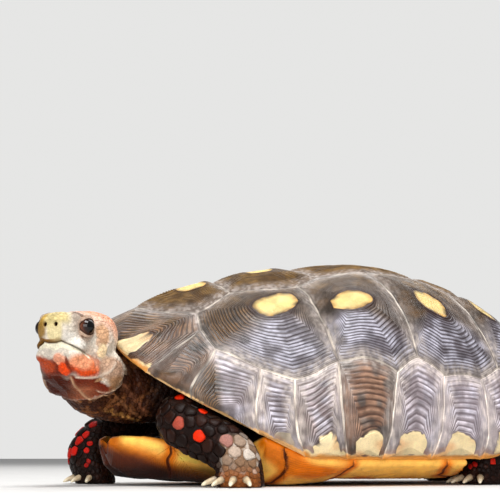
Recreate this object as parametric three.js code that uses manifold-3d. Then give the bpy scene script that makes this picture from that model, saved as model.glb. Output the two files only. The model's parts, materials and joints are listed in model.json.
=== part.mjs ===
// Red-footed tortoise (Chelonoidis carbonarius), adult, life size, caught in a slow walking step.
// Millimetres. +Z is up, the head points along -X and the animal's left side faces -Y.
// The sizes below are stated from a point on the floor under the middle of the shell; at the end
// the whole body is moved so that the origin lies on the floor under the middle of its outline.

import * as THREE from "three";
import Module from "manifold-3d";

const wasm = await Module();
wasm.setup();

// ---------------------------------------------------------------- driving sizes
const SHELL_LENGTH = 300;          // straight carapace length
const SHELL_HALF_WIDTH = 93;
const CROWN_HEIGHT = 137.3;
const CROWN_X = 12.5;
const WAIST = 0.03;                // how far the flanks are drawn in
const OUTLINE_POWER = { front: 2.4, rear: 2.7 };
const EDGE_HEIGHT = { front: 91.5, side: 15, rear: 21 };
const REAR_ARCH = 16;              // lift of the rim above each hind leg
const FRONT_SWEEP = 53;            // degrees over which the front rim falls to the bridge
const FRONT_SWEEP_POWER = 1.2;
const REAR_SWEEP = 60;
const CURL = { front: 5, side: 18, rear: 14 };         // widest line above the edge
const TUCK = { front: 0, side: 0.06, rear: 0.02 };     // inward curl below the widest line
const PLAN_POWER = { front: 1.87, side: 2.3, rear: 2.15 };
const RISE_POWER = { front: 1.08, side: 2.2, rear: 1.47 };
const EDGE_T = 1.25;               // disc radius of the lower shell edge

// seams of the carapace: stations along the shell (0 front, 1 rear) and half widths
const VERTEBRAL_SEAMS = [0.25, 0.44, 0.668, 0.812];
const VERTEBRAL_NECKS = [22, 26, 30, 27];
const VERTEBRAL_APEX_STATIONS = [0.164, 0.385, 0.535, 0.73];
const VERTEBRAL_APEX_WIDTHS = [30, 33, 38, 43];
// marginal seams: angle from the front midline and disc radius at the upper end, angle at the rim
const MARGINAL_TOP_ANGLES = [0, 20, 26, 37.8, 46.9, 60.5, 83.7, 104.4, 120.8, 137, 152, 168];
const MARGINAL_TOP_RADII = [0.69, 0.609, 0.655, 0.684, 0.705, 0.681, 0.81, 0.809, 0.775, 0.74, 0.72, 0.7];
const MARGINAL_RIM_ANGLES = [0, 16, 26, 40, 51, 63.5, 77, 99, 119, 137, 153, 168];
// angle and radius of the last vertebral's side corner and of the lower ends of two costal seams
const LAST_APEX = [163, 0.66];
const COSTAL_FOOT_23 = [94.4, 0.754];
const COSTAL_FOOT_34 = [130, 0.725];

const PLATE_THICKNESS = 3.6;
const MARGINAL_THICKNESS = 4.2;
const PLASTRON_THICKNESS = 5;
const PLATE_SWELL = 2.6;           // height of a plate's centre over its seams
const PLASTRON_SWELL = 0.7;        // the same, on the underside
const PLATE_GAP = 0.3;             // each plate is drawn in this much from its seam
const MESH_STEP = 15;              // usual length of a straight run along a seam
const PART_GAP = 0.35;             // clear space between bodies
const DISC_STEP = 0.004;           // run over which a slope of the dome is taken
const PLASTRON_STEP = 0.01;        // the same, on the plastron

// plastron: stations along x, half width of the outline, height of its edge and of its middle
// (a width of 0 follows the lower edge of the marginals, along the bridge)
const LOBE_X = [-149, -145, -136, -119, -96, -88, -80, -58, -34, -26, 52, 61, 96, 122, 137];
const LOBE_WIDTH = [7, 15, 28, 41, 50, 54, 0, 0, 0, 0, 0, 56, 50, 38, 20];
const LOBE_EDGE = [27, 28, 27, 23, 12, 11, 20, 12.5, 9.6, 9.6, 9.6, 12, 12, 14, 16];
const LOBE_FLAT = [0.4, 0.4, 0.42, 0.42, 0.42, 0.5, 0.68, 0.72, 0.72, 0.72, 0.7, 0.5, 0.42, 0.42, 0.4];
const LOBE_FLOOR = [20, 12, 6, 4, 2.6, 2.2, 1.8, 1.7, 2.8, 4.5, 4.5, 5, 6, 9, 12];
const BRIDGE_ENDS = [-80, 52];      // between these the plastron follows the marginals
const BRIDGE_INSET = 1.2;           // its edge lies this much inside theirs
const PLASTRON_HOLLOW = 2.2;        // depth of the hollow along its middle
const PLASTRON_EDGE_POWER = 1.4;    // how sharply it turns up to its edge
const MIDLINE_GAP = 0.004;          // q of the seam along the midline, on each side
const PLASTRON_SEAMS = { gular: -106, humeral: -62, pectoral: -42, abdominal: 36, femoral: 92, anal: 133 };

const COLORS = {
  carapace: 0x4b413c,
  marginal: 0x5d5049,
  plastron: 0xd79a3a,
  skin: 0x4a3a30,
  head: 0xb7a59a,
  jaw: 0xd8b88a,
  eye: 0x160e0a,
};

// ---------------------------------------------------------------- small maths
const rad = (degrees) => (degrees * Math.PI) / 180;
const clamp = (value, low, high) => Math.min(high, Math.max(low, value));
const lerp = (a, b, f) => a + (b - a) * f;
const smooth = (value) => {
  const f = clamp(value, 0, 1);
  return f * f * (3 - 2 * f);
};
const vec = (x, y, z) => new THREE.Vector3(x, y, z);

/** Value of the table (xs, ys) at x, with straight runs between its entries. */
function table(xs, ys, x) {
  if (x <= xs[0]) return ys[0];
  for (let i = 1; i < xs.length; i += 1) {
    if (x <= xs[i]) return lerp(ys[i - 1], ys[i], (x - xs[i - 1]) / (xs[i] - xs[i - 1]));
  }
  return ys[ys.length - 1];
}

// ---------------------------------------------------------------- carapace surface
// The dome is drawn over a disc. The disc centre is the crown, radius 1 is the widest line and
// radius EDGE_T the lower edge. Angle 0 points to the rear and -90 degrees to the left side.
function blend(psi, values) {
  const front = smooth(-Math.cos(psi));
  const rear = smooth(Math.cos(psi));
  return values.side * (1 - front - rear) + values.front * front + values.rear * rear;
}

function outlineRadius(psi) {
  const c = Math.cos(psi);
  const ahead = c < 0;
  const reach = ahead ? CROWN_X + SHELL_LENGTH / 2 : SHELL_LENGTH / 2 - CROWN_X;
  const n = ahead ? OUTLINE_POWER.front : OUTLINE_POWER.rear;
  const along = (Math.abs(c) / reach) ** n;
  const across = (Math.abs(Math.sin(psi)) / SHELL_HALF_WIDTH) ** n;
  return (along + across) ** (-1 / n) * (1 - WAIST * Math.exp(-((c / 0.3) ** 2)));
}

function edgeHeight(psi) {
  const fromRear = Math.abs((Math.atan2(Math.sin(psi), Math.cos(psi)) * 180) / Math.PI);
  const ahead = clamp((180 - fromRear) / FRONT_SWEEP, 0, 1);
  let height = EDGE_HEIGHT.side + (EDGE_HEIGHT.front - EDGE_HEIGHT.side) * (1 - ahead) ** FRONT_SWEEP_POWER;
  if (fromRear < REAR_SWEEP) {
    const f = fromRear / REAR_SWEEP;
    height += (EDGE_HEIGHT.rear - EDGE_HEIGHT.side) * (1 - smooth(f));
    height += REAR_ARCH * Math.sin(Math.PI * f) ** 2;
  }
  return height;
}

function domeBase(u, v) {
  const psi = Math.atan2(v, u);
  const t = Math.hypot(u, v);
  const curl = blend(psi, CURL);
  const widest = edgeHeight(psi) + curl;
  const angle = (Math.PI / 2) * clamp(t, 0, 1);
  const over = Math.max(0, (t - 1) / (EDGE_T - 1));
  const reach = Math.sin(angle) ** (2 / blend(psi, PLAN_POWER)) * (1 - blend(psi, TUCK) * over * over);
  const rise = Math.max(0, Math.cos(angle)) ** (2 / blend(psi, RISE_POWER));
  const r = outlineRadius(psi) * reach;
  const height = widest + (CROWN_HEIGHT - widest) * rise - curl * over;
  return vec(CROWN_X + r * Math.cos(psi), r * Math.sin(psi), height);
}

/** Point of a surface given by base(u, v), moved out along its normal by `out`. */
function offsetPoint(base, u, v, out, step) {
  const point = base(u, v);
  if (out === 0) return point;
  const du = base(u + step, v).sub(base(u - step, v));
  const dv = base(u, v + step).sub(base(u, v - step));
  return point.addScaledVector(du.cross(dv).normalize(), out);
}

const domePoint = (uv, out) => offsetPoint(domeBase, uv[0], uv[1], out, DISC_STEP);

/** Disc point at an angle (degrees from the front midline) and radius; side -1 left, +1 right. */
const onDisc = (degrees, t, side) => {
  const psi = side * rad(180 - degrees);
  return [t * Math.cos(psi), t * Math.sin(psi)];
};

/** Disc point above the place at station s (0 front, 1 rear), y mm off the midline. */
function fromPlan(s, y, side) {
  const x = (s - 0.5) * SHELL_LENGTH - CROWN_X;
  const psi = Math.atan2(side * y, x);
  const reach = Math.hypot(x, y) / outlineRadius(psi);
  const t = (2 / Math.PI) * Math.asin(reach ** (blend(psi, PLAN_POWER) / 2));
  return [t * Math.cos(psi), t * Math.sin(psi)];
}

// ---------------------------------------------------------------- plastron surface
// Drawn over (x, q): q runs from -1 on the left edge to +1 on the right edge.
function bridgeHalfWidth(x) {
  let low = rad(30);
  let high = rad(150);
  for (let i = 0; i < 40; i += 1) {
    const mid = (low + high) / 2;
    const point = domeBase(EDGE_T * Math.cos(mid), EDGE_T * Math.sin(mid));
    if (point.x > x) low = mid;
    else high = mid;
  }
  return domeBase(EDGE_T * Math.cos(low), EDGE_T * Math.sin(low)).y - BRIDGE_INSET;
}

function plastronHalfWidth(x) {
  const bridge = bridgeHalfWidth(clamp(x, ...BRIDGE_ENDS));
  const widths = LOBE_WIDTH.map((width) => (width === 0 ? bridge : width));
  return table(LOBE_X, widths, x);
}

function plastronBase(x, q) {
  const width = plastronHalfWidth(x);
  const edge = table(LOBE_X, LOBE_EDGE, x);
  const floor = table(LOBE_X, LOBE_FLOOR, x);
  const flat = table(LOBE_X, LOBE_FLAT, x);
  const side = clamp((Math.abs(q) - flat) / (1 - flat), 0, 1);
  const hollow = PLASTRON_HOLLOW * (1 - smooth(Math.abs(q) / flat));
  return vec(x, q * width, floor + hollow + (edge - floor) * side ** PLASTRON_EDGE_POWER);
}

// the outward side of the plastron faces down, so the normal is reversed
const plastronPoint = (uv, out) => offsetPoint(plastronBase, uv[0], uv[1], -out, PLASTRON_STEP);

// ---------------------------------------------------------------- mesh building
class Builder {
  constructor() {
    this.vertices = [];
    this.triangles = [];
  }

  add(point) {
    this.vertices.push(point);
    return this.vertices.length - 1;
  }

  ring(points) {
    return points.map((point) => this.add(point));
  }

  bridge(a, b) {
    for (let i = 0; i < a.length; i += 1) {
      const j = (i + 1) % a.length;
      this.triangles.push([a[i], a[j], b[j]], [a[i], b[j], b[i]]);
    }
  }

  /** Wall between two rings whose quads are split the same way from either side of a seam. */
  wall(a, b, places) {
    for (let i = 0; i < a.length; i += 1) {
      const j = (i + 1) % a.length;
      const [p, q] = [places[i], places[j]];
      const forward = Math.abs(p[0] - q[0]) > 1e-9 ? p[0] < q[0] : p[1] < q[1];
      if (forward) this.triangles.push([a[i], a[j], b[j]], [a[i], b[j], b[i]]);
      else this.triangles.push([a[i], a[j], b[i]], [a[j], b[j], b[i]]);
    }
  }

  fan(ring, centre) {
    for (let i = 0; i < ring.length; i += 1) {
      this.triangles.push([ring[i], ring[(i + 1) % ring.length], centre]);
    }
  }

  geometry() {
    let volume = 0;
    for (const [a, b, c] of this.triangles) {
      volume += this.vertices[a].dot(this.vertices[b].clone().cross(this.vertices[c]));
    }
    const faces = volume < 0 ? this.triangles.map(([a, b, c]) => [a, c, b]) : this.triangles;
    const geometry = new THREE.BufferGeometry();
    const positions = this.vertices.flatMap((p) => [p.x, p.y, p.z]);
    geometry.setAttribute("position", new THREE.Float32BufferAttribute(positions, 3));
    geometry.setIndex(faces.flat());
    return geometry;
  }
}

function toManifold(geometry) {
  const mesh = new wasm.Mesh({
    numProp: 3,
    vertProperties: new Float32Array(geometry.attributes.position.array),
    triVerts: new Uint32Array(geometry.index.array),
  });
  return new wasm.Manifold(mesh);
}

function fromManifold(manifold) {
  const mesh = manifold.getMesh();
  const geometry = new THREE.BufferGeometry();
  geometry.setAttribute("position", new THREE.Float32BufferAttribute(mesh.vertProperties, 3));
  geometry.setIndex(Array.from(mesh.triVerts));
  return geometry;
}

// ---------------------------------------------------------------- plates
/** Places along the seam from a to b; both plates that share a seam get the same places. */
function seam(a, b, surface) {
  const onRim = (p) => Math.hypot(...p) > EDGE_T - 0.01;
  const rimEdge = surface === domePoint && onRim(a) && onRim(b);
  const length = surface(a, 0).distanceTo(surface(b, 0));
  const count = Math.max(1, Math.round(length / MESH_STEP));
  const places = [];
  for (let i = 0; i < count; i += 1) {
    const f = i / count;
    if (rimEdge) {
      let turn = Math.atan2(b[1], b[0]) - Math.atan2(a[1], a[0]);
      if (turn > Math.PI) turn -= 2 * Math.PI;
      if (turn < -Math.PI) turn += 2 * Math.PI;
      const psi = Math.atan2(a[1], a[0]) + turn * f;
      places.push([EDGE_T * Math.cos(psi), EDGE_T * Math.sin(psi)]);
    } else {
      places.push([lerp(a[0], b[0], f), lerp(a[1], b[1], f)]);
    }
  }
  return places;
}

/** The counter-clockwise outline of places drawn in by `gap` mm, square to its seams. */
function drawIn(outline, surface, gap) {
  const step = DISC_STEP;
  const points = outline.map((p) => surface(p, 0));
  const slopes = outline.map((p) => [
    surface([p[0] + step, p[1]], 0).sub(surface([p[0] - step, p[1]], 0)).divideScalar(2 * step),
    surface([p[0], p[1] + step], 0).sub(surface([p[0], p[1] - step], 0)).divideScalar(2 * step),
  ]);
  return outline.map((p, i) => {
    const count = outline.length;
    const [du, dv] = slopes[i];
    const normal = du.clone().cross(dv).normalize();
    const back = points[i].clone().sub(points[(i + count - 1) % count]).normalize();
    const ahead = points[(i + 1) % count].clone().sub(points[i]).normalize();
    const a = normal.clone().cross(back).normalize();
    const b = normal.clone().cross(ahead).normalize();
    const move = a.clone().add(b).multiplyScalar(gap / Math.max(0.3, 1 + a.dot(b)));
    const [uu, uv, vv] = [du.dot(du), du.dot(dv), dv.dot(dv)];
    const [mu, mv] = [move.dot(du), move.dot(dv)];
    const det = uu * vv - uv * uv;
    return [p[0] + (mu * vv - mv * uv) / det, p[1] + (mv * uu - mu * uv) / det];
  });
}

/**
 * A closed plate on a surface: outline corners, raised centre and a parallel inner face.
 * `grow` makes it larger all round, for cutting its neighbours.
 */
function plate(corners, options = {}) {
  const { surface = domePoint, thickness = PLATE_THICKNESS, centre = null, rings = [0.82, 0.32] } = options;
  const { swell = PLATE_SWELL, grow = 0 } = options;
  const turned = corners.reduce((sum, p, i) => {
    const q = corners[(i + 1) % corners.length];
    return sum + p[0] * q[1] - q[0] * p[1];
  }, 0);
  const ordered = turned > 0 ? corners : [...corners].reverse();
  const outline = ordered.flatMap((corner, i) => seam(corner, ordered[(i + 1) % ordered.length], surface));
  const middle = centre ?? [
    outline.reduce((sum, p) => sum + p[0], 0) / outline.length,
    outline.reduce((sum, p) => sum + p[1], 0) / outline.length,
  ];
  const drawn = drawIn(outline, surface, PLATE_GAP - grow);
  const at = (f, out) => drawn.map((p) => surface([lerp(middle[0], p[0], f), lerp(middle[1], p[1], f)], out));
  // both plates of a seam are offset along the same direction, so they stay clear of each other
  const border = (out) => drawn.map((p, i) => {
    const shift = surface(outline[i], out).sub(surface(outline[i], 0));
    return surface(p, 0).add(shift);
  });
  const body = new Builder();
  const inner = body.ring(border(-thickness - grow));
  const outer = body.ring(border(grow));
  body.fan([...inner].reverse(), body.add(surface(middle, -thickness - grow)));
  body.wall(inner, outer, outline);
  let last = outer;
  for (const f of rings) {
    const next = body.ring(at(f, swell * (f > 0.6 ? 0.45 : 1) + grow));
    body.bridge(last, next);
    last = next;
  }
  body.fan(last, body.add(surface(middle, swell + grow)));
  return body.geometry();
}

// ---------------------------------------------------------------- flesh
const CAP_BULGE = 0.35;            // how far a limb's end stands out, as a share of its radius

/** Smooth curve through the values of key rows at row position f (Catmull-Rom). */
function alongKeys(rows, f) {
  const i = clamp(Math.floor(f), 0, rows.length - 2);
  const s = f - i;
  const row = (k) => rows[clamp(k, 0, rows.length - 1)];
  return row(i).map((_, c) => {
    const [p0, p1, p2, p3] = [row(i - 1)[c], row(i)[c], row(i + 1)[c], row(i + 2)[c]];
    return p1 + 0.5 * s * (p2 - p0 + s * (2 * p0 - 5 * p1 + 4 * p2 - p3 + s * (3 * (p1 - p2) + p3 - p0)));
  });
}

/**
 * Tube along key rows [x, y, z, half width, half height], with sections square to the path.
 * Nothing goes below the floor; `grow` makes a fatter copy to cut with.
 */
function limb(rows, { sides = 12, perKey = 2, grow = 0, floor = 0 } = {}) {
  const body = new Builder();
  const count = (rows.length - 1) * perKey;
  const keys = Array.from({ length: count + 1 }, (_, i) => alongKeys(rows, i / perKey));
  let across = null;
  const rings = keys.map((key, i) => {
    const before = keys[Math.max(0, i - 1)];
    const after = keys[Math.min(count, i + 1)];
    const tangent = vec(after[0] - before[0], after[1] - before[1], after[2] - before[2]).normalize();
    // the section is carried along the path without twisting
    if (across === null) across = tangent.clone().cross(vec(0, 0, 1));
    across.addScaledVector(tangent, -across.dot(tangent)).normalize();
    const up = across.clone().cross(tangent).normalize();
    const points = [];
    for (let k = 0; k < sides; k += 1) {
      const a = (2 * Math.PI * k) / sides;
      const point = vec(key[0], key[1], key[2])
        .addScaledVector(across, Math.cos(a) * (key[3] + grow))
        .addScaledVector(up, Math.sin(a) * (key[4] + grow));
      point.z = Math.max(point.z, floor);
      points.push(point);
    }
    return body.ring(points);
  });
  for (let i = 1; i < rings.length; i += 1) body.bridge(rings[i - 1], rings[i]);
  const cap = (index, outward) => {
    const end = keys[index];
    const next = keys[index + outward];
    const push = vec(end[0] - next[0], end[1] - next[1], end[2] - next[2]).normalize();
    const tip = vec(end[0], end[1], end[2]).addScaledVector(push, CAP_BULGE * Math.min(end[3], end[4]) + grow);
    tip.z = Math.max(tip.z, floor);
    return body.add(tip);
  };
  body.fan([...rings[0]].reverse(), cap(0, 1));
  body.fan(rings[rings.length - 1], cap(count, -1));
  return body.geometry();
}

// column feet: each tube ends below floor level, where it is pressed flat into a sole
const FORE_LEFT = [
  [-66, -34, 44, 13, 14], [-92, -40, 43, 13, 14], [-113, -47, 41, 14, 14], [-121, -53, 37, 14, 14],
  [-113, -62, 30, 14, 13.5], [-102, -72, 23, 13.5, 13], [-96, -79, 13, 13.5, 13], [-95, -81, -5, 14, 13.5],
];
const FORE_RIGHT = [
  [-62, 44, 46, 13, 15], [-88, 54, 43, 14, 14], [-112, 58, 37, 15, 14], [-129, 59, 28, 15, 14],
  [-137, 58, 18, 15, 14], [-135, 57, 8, 16, 13], [-132, 57, -5, 15.5, 13],
];
const HIND_LEFT = [
  [98, -30, 46, 17, 17], [92, -46, 41, 17, 17], [84, -59, 33, 16, 16],
  [77, -66, 22, 14.5, 14], [74, -68, 10, 14.5, 13], [73, -68, -4, 15.5, 14],
];
const HIND_RIGHT = [
  [88, 30, 46, 17, 17], [100, 44, 41, 17, 16], [112, 55, 33, 15.5, 15],
  [122, 59, 22, 14, 13.5], [127, 59, 10, 14, 12.5], [129, 59, -4, 15, 13.5],
];
const TAIL = [
  [104, 0, 40, 13, 12], [121, 1, 31, 10.5, 10], [134, 5, 22, 8, 8], [142, 13, 14, 5.5, 5.5],
  [144, 23, 8, 3, 3],
];
const NECK = [
  [-92, 0, 60, 27, 22], [-112, 0, 60, 25, 23], [-132, -1, 60, 22, 24], [-150, -6, 61, 20, 23],
  [-164, -16, 65, 18, 22], [-172, -25, 70, 15, 17],
];

// claws: where each root sits, the way it points and its size
const CLAW_LENGTH = 13;
const CLAW_RADIUS = 3;
const CLAW_SIDES = 6;
const CLAW_TAPER = 0.62;            // share of the radius lost from root to tip
const CLAW_FLATNESS = 0.8;          // height over width
const CLAW_STATIONS = [0, 0.4, 0.75];

/** A curved claw from `root`, pointing at `heading` degrees in plan and dipping to the floor. */
function claw(root, heading, drop) {
  const body = new Builder();
  const ahead = vec(Math.cos(rad(heading)), Math.sin(rad(heading)), 0);
  const across = vec(-ahead.y, ahead.x, 0);
  const rings = CLAW_STATIONS.map((f) => {
    const centre = root.clone().addScaledVector(ahead, CLAW_LENGTH * f);
    centre.z = Math.max(root.z - drop * f * f, CLAW_RADIUS * (1 - f) + 0.2);
    const r = CLAW_RADIUS * (1 - CLAW_TAPER * f);
    return body.ring(Array.from({ length: CLAW_SIDES }, (_, k) => {
      const a = (2 * Math.PI * k) / CLAW_SIDES;
      const rise = Math.sin(a) * r * CLAW_FLATNESS;
      return centre.clone().addScaledVector(across, Math.cos(a) * r).add(vec(0, 0, rise));
    }));
  });
  body.bridge(rings[0], rings[1]);
  body.bridge(rings[1], rings[2]);
  const tip = root.clone().addScaledVector(ahead, CLAW_LENGTH);
  tip.z = Math.max(root.z - drop, 0.4);
  body.fan(rings[2], body.add(tip));
  body.fan([...rings[0]].reverse(), body.add(root.clone()));
  return body.geometry();
}

/** The solid less every cutter; only its largest piece is kept. */
function carve(solid, cutters) {
  const cut = cutters.reduce((left, cutter) => left.subtract(cutter), solid);
  return cut.decompose().reduce((best, piece) => (piece.volume() > best.volume() ? piece : best));
}

/** A leg with its claws joined on, cut clear of its neighbours. */
function leg(rows, clawRow, cutters) {
  let solid = carve(toManifold(limb(rows)), cutters);
  const { centre, reach, headings, height, drop } = clawRow;
  for (const heading of headings) {
    const root = vec(
      centre[0] + reach * Math.cos(rad(heading)),
      centre[1] + reach * Math.sin(rad(heading)),
      height,
    );
    solid = solid.add(toManifold(claw(root, heading, drop)));
  }
  return fromManifold(solid);
}

// ---------------------------------------------------------------- head
const HEAD_CENTRE = vec(-186, -39, 90);   // midway between the eyes
const HEAD_TURN = 47;                     // degrees to the animal's left
const EYE_RADIUS = 5;
const EYE_PLACE = { ahead: 1, side: 12.3, up: 0 };
// rows: distance ahead of the eyes, half width, top, bottom
const SKULL = [
  [19.2, 5.6, 2.2, -9], [17.8, 8.4, 5, -9.6], [12.5, 11.4, 7.4, -11.4], [5, 14.6, 8.2, -14],
  [-4, 16, 9, -16.2], [-13, 19, 10.2, -18], [-23, 21.4, 11.2, -20], [-31, 20.4, 11.6, -21],
  [-39, 17, 10.6, -20.6], [-45, 12, 6, -17],
];
const JAW = [
  [15.4, 5.2, -9.6, -15.4], [13, 9, -10.4, -19.4], [6, 13.6, -12, -26], [-3, 17, -14.5, -32.4],
  [-13, 21.5, -17.5, -37.4], [-22, 25, -19, -40], [-30, 25, -20, -40], [-38, 21, -20, -37],
];

/** World point of head-frame coordinates: ahead, to the animal's left, up. */
function headPoint(ahead, left, up) {
  const c = Math.cos(rad(HEAD_TURN));
  const s = Math.sin(rad(HEAD_TURN));
  return vec(HEAD_CENTRE.x - ahead * c + left * s, HEAD_CENTRE.y - ahead * s - left * c, HEAD_CENTRE.z + up);
}

function headShape(rows, { sides = 16, power = 2.3, grow = 0 } = {}) {
  const body = new Builder();
  const rings = rows.map(([ahead, half, top, bottom]) => {
    const middle = (top + bottom) / 2;
    const points = [];
    for (let k = 0; k < sides; k += 1) {
      const a = (2 * Math.PI * k) / sides;
      const c = Math.cos(a);
      const s = Math.sin(a);
      const x = Math.sign(c) * Math.abs(c) ** (2 / power) * (half + grow);
      const z = Math.sign(s) * Math.abs(s) ** (2 / power) * ((top - bottom) / 2 + grow);
      points.push(headPoint(ahead, x, middle + z));
    }
    return body.ring(points);
  });
  for (let i = 1; i < rings.length; i += 1) body.bridge(rings[i - 1], rings[i]);
  const first = rows[0];
  const last = rows[rows.length - 1];
  body.fan([...rings[0]].reverse(), body.add(headPoint(first[0] + 0.8 + grow, 0, (first[2] + first[3]) / 2)));
  body.fan(rings[rings.length - 1], body.add(headPoint(last[0] - 2 - grow, 0, (last[2] + last[3]) / 2)));
  return body.geometry();
}

function ball(centre, radius, columns, rows) {
  const body = new Builder();
  const top = body.add(centre.clone().add(vec(0, 0, radius)));
  const bottom = body.add(centre.clone().add(vec(0, 0, -radius)));
  const rings = [];
  for (let i = 1; i < rows; i += 1) {
    const a = (Math.PI * i) / rows;
    rings.push(body.ring(Array.from({ length: columns }, (_, k) => {
      const b = (2 * Math.PI * k) / columns;
      const r = radius * Math.sin(a);
      return centre.clone().add(vec(r * Math.cos(b), r * Math.sin(b), radius * Math.cos(a)));
    })));
  }
  for (let i = 1; i < rings.length; i += 1) body.bridge(rings[i - 1], rings[i]);
  body.fan([...rings[0]].reverse(), top);
  body.fan(rings[rings.length - 1], bottom);
  return body.geometry();
}

// ---------------------------------------------------------------- trunk
const TRUNK_DEPTH = 8.6;           // below the plates' seams
const TRUNK_FLOOR_GAP = 6;         // above the plastron's inner face
const TRUNK_SIDES = 40;
const TRUNK_STEPS = [0.3, 0.6, 0.85, 1];                // rings over the top, as shares of the reach
const TRUNK_UNDER = 0.62;          // the inner ring underneath
const TRUNK_INSET = 2;
const TRUNK_REACH = { front: 0.63, side: 0.925, rear: 0.7 };

function trunkReach(psi) {
  const fromFront = 180 - Math.abs((psi * 180) / Math.PI);
  const ahead = smooth((fromFront - 46) / 16);
  const behind = smooth((fromFront - 112) / 16);
  return lerp(lerp(TRUNK_REACH.front, TRUNK_REACH.side, ahead), TRUNK_REACH.rear, behind);
}

/** The closed inner body: it follows the dome inside the plates and has hollows for the limbs. */
function trunk(grow) {
  const body = new Builder();
    const angles = Array.from({ length: TRUNK_SIDES }, (_, k) => -Math.PI + (2 * Math.PI * k) / TRUNK_SIDES);
  const rings = TRUNK_STEPS.map((step) => body.ring(angles.map((psi) => {
    const reach = trunkReach(psi) * step;
    const t = (2 / Math.PI) * Math.asin(reach ** (blend(psi, PLAN_POWER) / 2));
    return domePoint([t * Math.cos(psi), t * Math.sin(psi)], grow - TRUNK_DEPTH);
  })));
  const under = (share) => body.ring(angles.map((psi) => {
    const r = outlineRadius(psi) * trunkReach(psi) * share - TRUNK_INSET + grow;
    const x = CROWN_X + r * Math.cos(psi);
    const y = r * Math.sin(psi);
    const q = clamp(y / plastronHalfWidth(x), -1, 1);
    return vec(x, y, plastronBase(x, q).z + PLASTRON_THICKNESS + TRUNK_FLOOR_GAP - grow);
  }));
  rings.push(under(1), under(TRUNK_UNDER));
  body.fan([...rings[0]].reverse(), body.add(domePoint([0.001, 0], grow - TRUNK_DEPTH)));
  for (let i = 1; i < rings.length; i += 1) body.bridge(rings[i - 1], rings[i]);
  const floor = plastronBase(CROWN_X, 0).z + PLASTRON_THICKNESS + TRUNK_FLOOR_GAP - grow;
  body.fan(rings[rings.length - 1], body.add(vec(CROWN_X, 0, floor)));
  return body.geometry();
}

// ---------------------------------------------------------------- assembly
const root = new THREE.Group();
root.name = "tortoise";

const shellCutters = {};           // fattened copies of the plates, by name

/** Adds a shell plate and keeps a fatter copy of it for cutting the flesh. */
function addPlate(name, corners, color, options = {}) {
  addPart(name, plate(corners, options), color, 0.55);
  shellCutters[name] = toManifold(plate(corners, { ...options, grow: PART_GAP + PLATE_GAP }));
}

function addPart(name, geometry, color, roughness = 0.7) {
  const flat = geometry.toNonIndexed();
  flat.computeVertexNormals();
  const mesh = new THREE.Mesh(flat, new THREE.MeshStandardMaterial({ color, roughness, metalness: 0 }));
  mesh.name = name;
  mesh.material.name = name;
  root.add(mesh);
}

/** Named corners of the carapace seams on one side. */
function seamNodes(side) {
  return {
    front: onDisc(0, MARGINAL_TOP_RADII[0], side),
    necks: VERTEBRAL_SEAMS.map((s, i) => fromPlan(s, VERTEBRAL_NECKS[i], side)),
    apexes: VERTEBRAL_APEX_STATIONS.map((s, i) => fromPlan(s, VERTEBRAL_APEX_WIDTHS[i], side)),
    lastApex: onDisc(...LAST_APEX, side),
    tops: MARGINAL_TOP_ANGLES.map((a, i) => onDisc(a, MARGINAL_TOP_RADII[i], side)),
    rims: MARGINAL_RIM_ANGLES.map((a) => onDisc(a, EDGE_T, side)),
    costal23: onDisc(...COSTAL_FOOT_23, side),
    costal34: onDisc(...COSTAL_FOOT_34, side),
  };
}

const left = seamNodes(-1);
const right = seamNodes(1);

/** Corner list of a plate that lies across the midline, from the list of its left corners. */
const across = (pick) => [...pick(left), ...pick(right).reverse()];

const vertebrals = [
  [left.front, ...across((n) => [n.apexes[0], n.necks[0]])],
  across((n) => [n.necks[0], n.apexes[1], n.necks[1]]),
  across((n) => [n.necks[1], n.apexes[2], n.necks[2]]),
  across((n) => [n.necks[2], n.apexes[3], n.necks[3]]),
  across((n) => [n.necks[3], n.lastApex, n.tops[11]]),
];
// the areola of each vertebral plate sits a little behind its middle
const VERTEBRAL_CENTRES = [0.19, 0.345, 0.56, 0.762, 0.875];
vertebrals.forEach((corners, i) => {
  addPlate(`vertebral_${i + 1}`, corners, COLORS.carapace, { centre: fromPlan(VERTEBRAL_CENTRES[i], 0, 1) });
});

const FIRST_MARGINAL_CENTRE = [11, 0.9];
const COSTAL_CENTRES = [[31.5, 0.42], [70, 0.44], [120, 0.43], [150, 0.5]];
for (const [sideName, side, n] of [["left", -1, left], ["right", 1, right]]) {
  const costals = [
    [n.apexes[0], n.necks[0], n.apexes[1], n.tops[5], n.tops[4], n.tops[3], n.tops[2], n.tops[1]],
    [n.apexes[1], n.necks[1], n.apexes[2], n.costal23, n.tops[6], n.tops[5]],
    [n.apexes[2], n.necks[2], n.apexes[3], n.costal34, n.tops[8], n.tops[7], n.costal23],
    [n.apexes[3], n.necks[3], n.lastApex, n.tops[10], n.tops[9], n.costal34],
  ];
  costals.forEach((corners, i) => {
    const centre = onDisc(COSTAL_CENTRES[i][0], COSTAL_CENTRES[i][1], side);
    addPlate(`costal_${sideName}_${i + 1}`, corners, COLORS.carapace, { centre });
  });
  for (let i = 0; i < 11; i += 1) {
    const upper = [n.tops[i]];
    if (i === 0) upper.push(n.apexes[0]);
    if (i === 6) upper.push(n.costal23);
    if (i === 8) upper.push(n.costal34);
    if (i === 10) upper.push(n.lastApex);
    const corners = [...upper, n.tops[i + 1], n.rims[i + 1], n.rims[i]];
    const options = { thickness: MARGINAL_THICKNESS, rings: [0.5] };
    if (i === 0) options.centre = onDisc(FIRST_MARGINAL_CENTRE[0], FIRST_MARGINAL_CENTRE[1], side);
    addPlate(`marginal_${sideName}_${i + 1}`, corners, COLORS.marginal, options);
  }
}
const supracaudal = [left.tops[11], right.tops[11], right.rims[11], left.rims[11]];
addPlate("supracaudal", supracaudal, COLORS.marginal, { thickness: MARGINAL_THICKNESS, rings: [0.5] });

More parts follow.
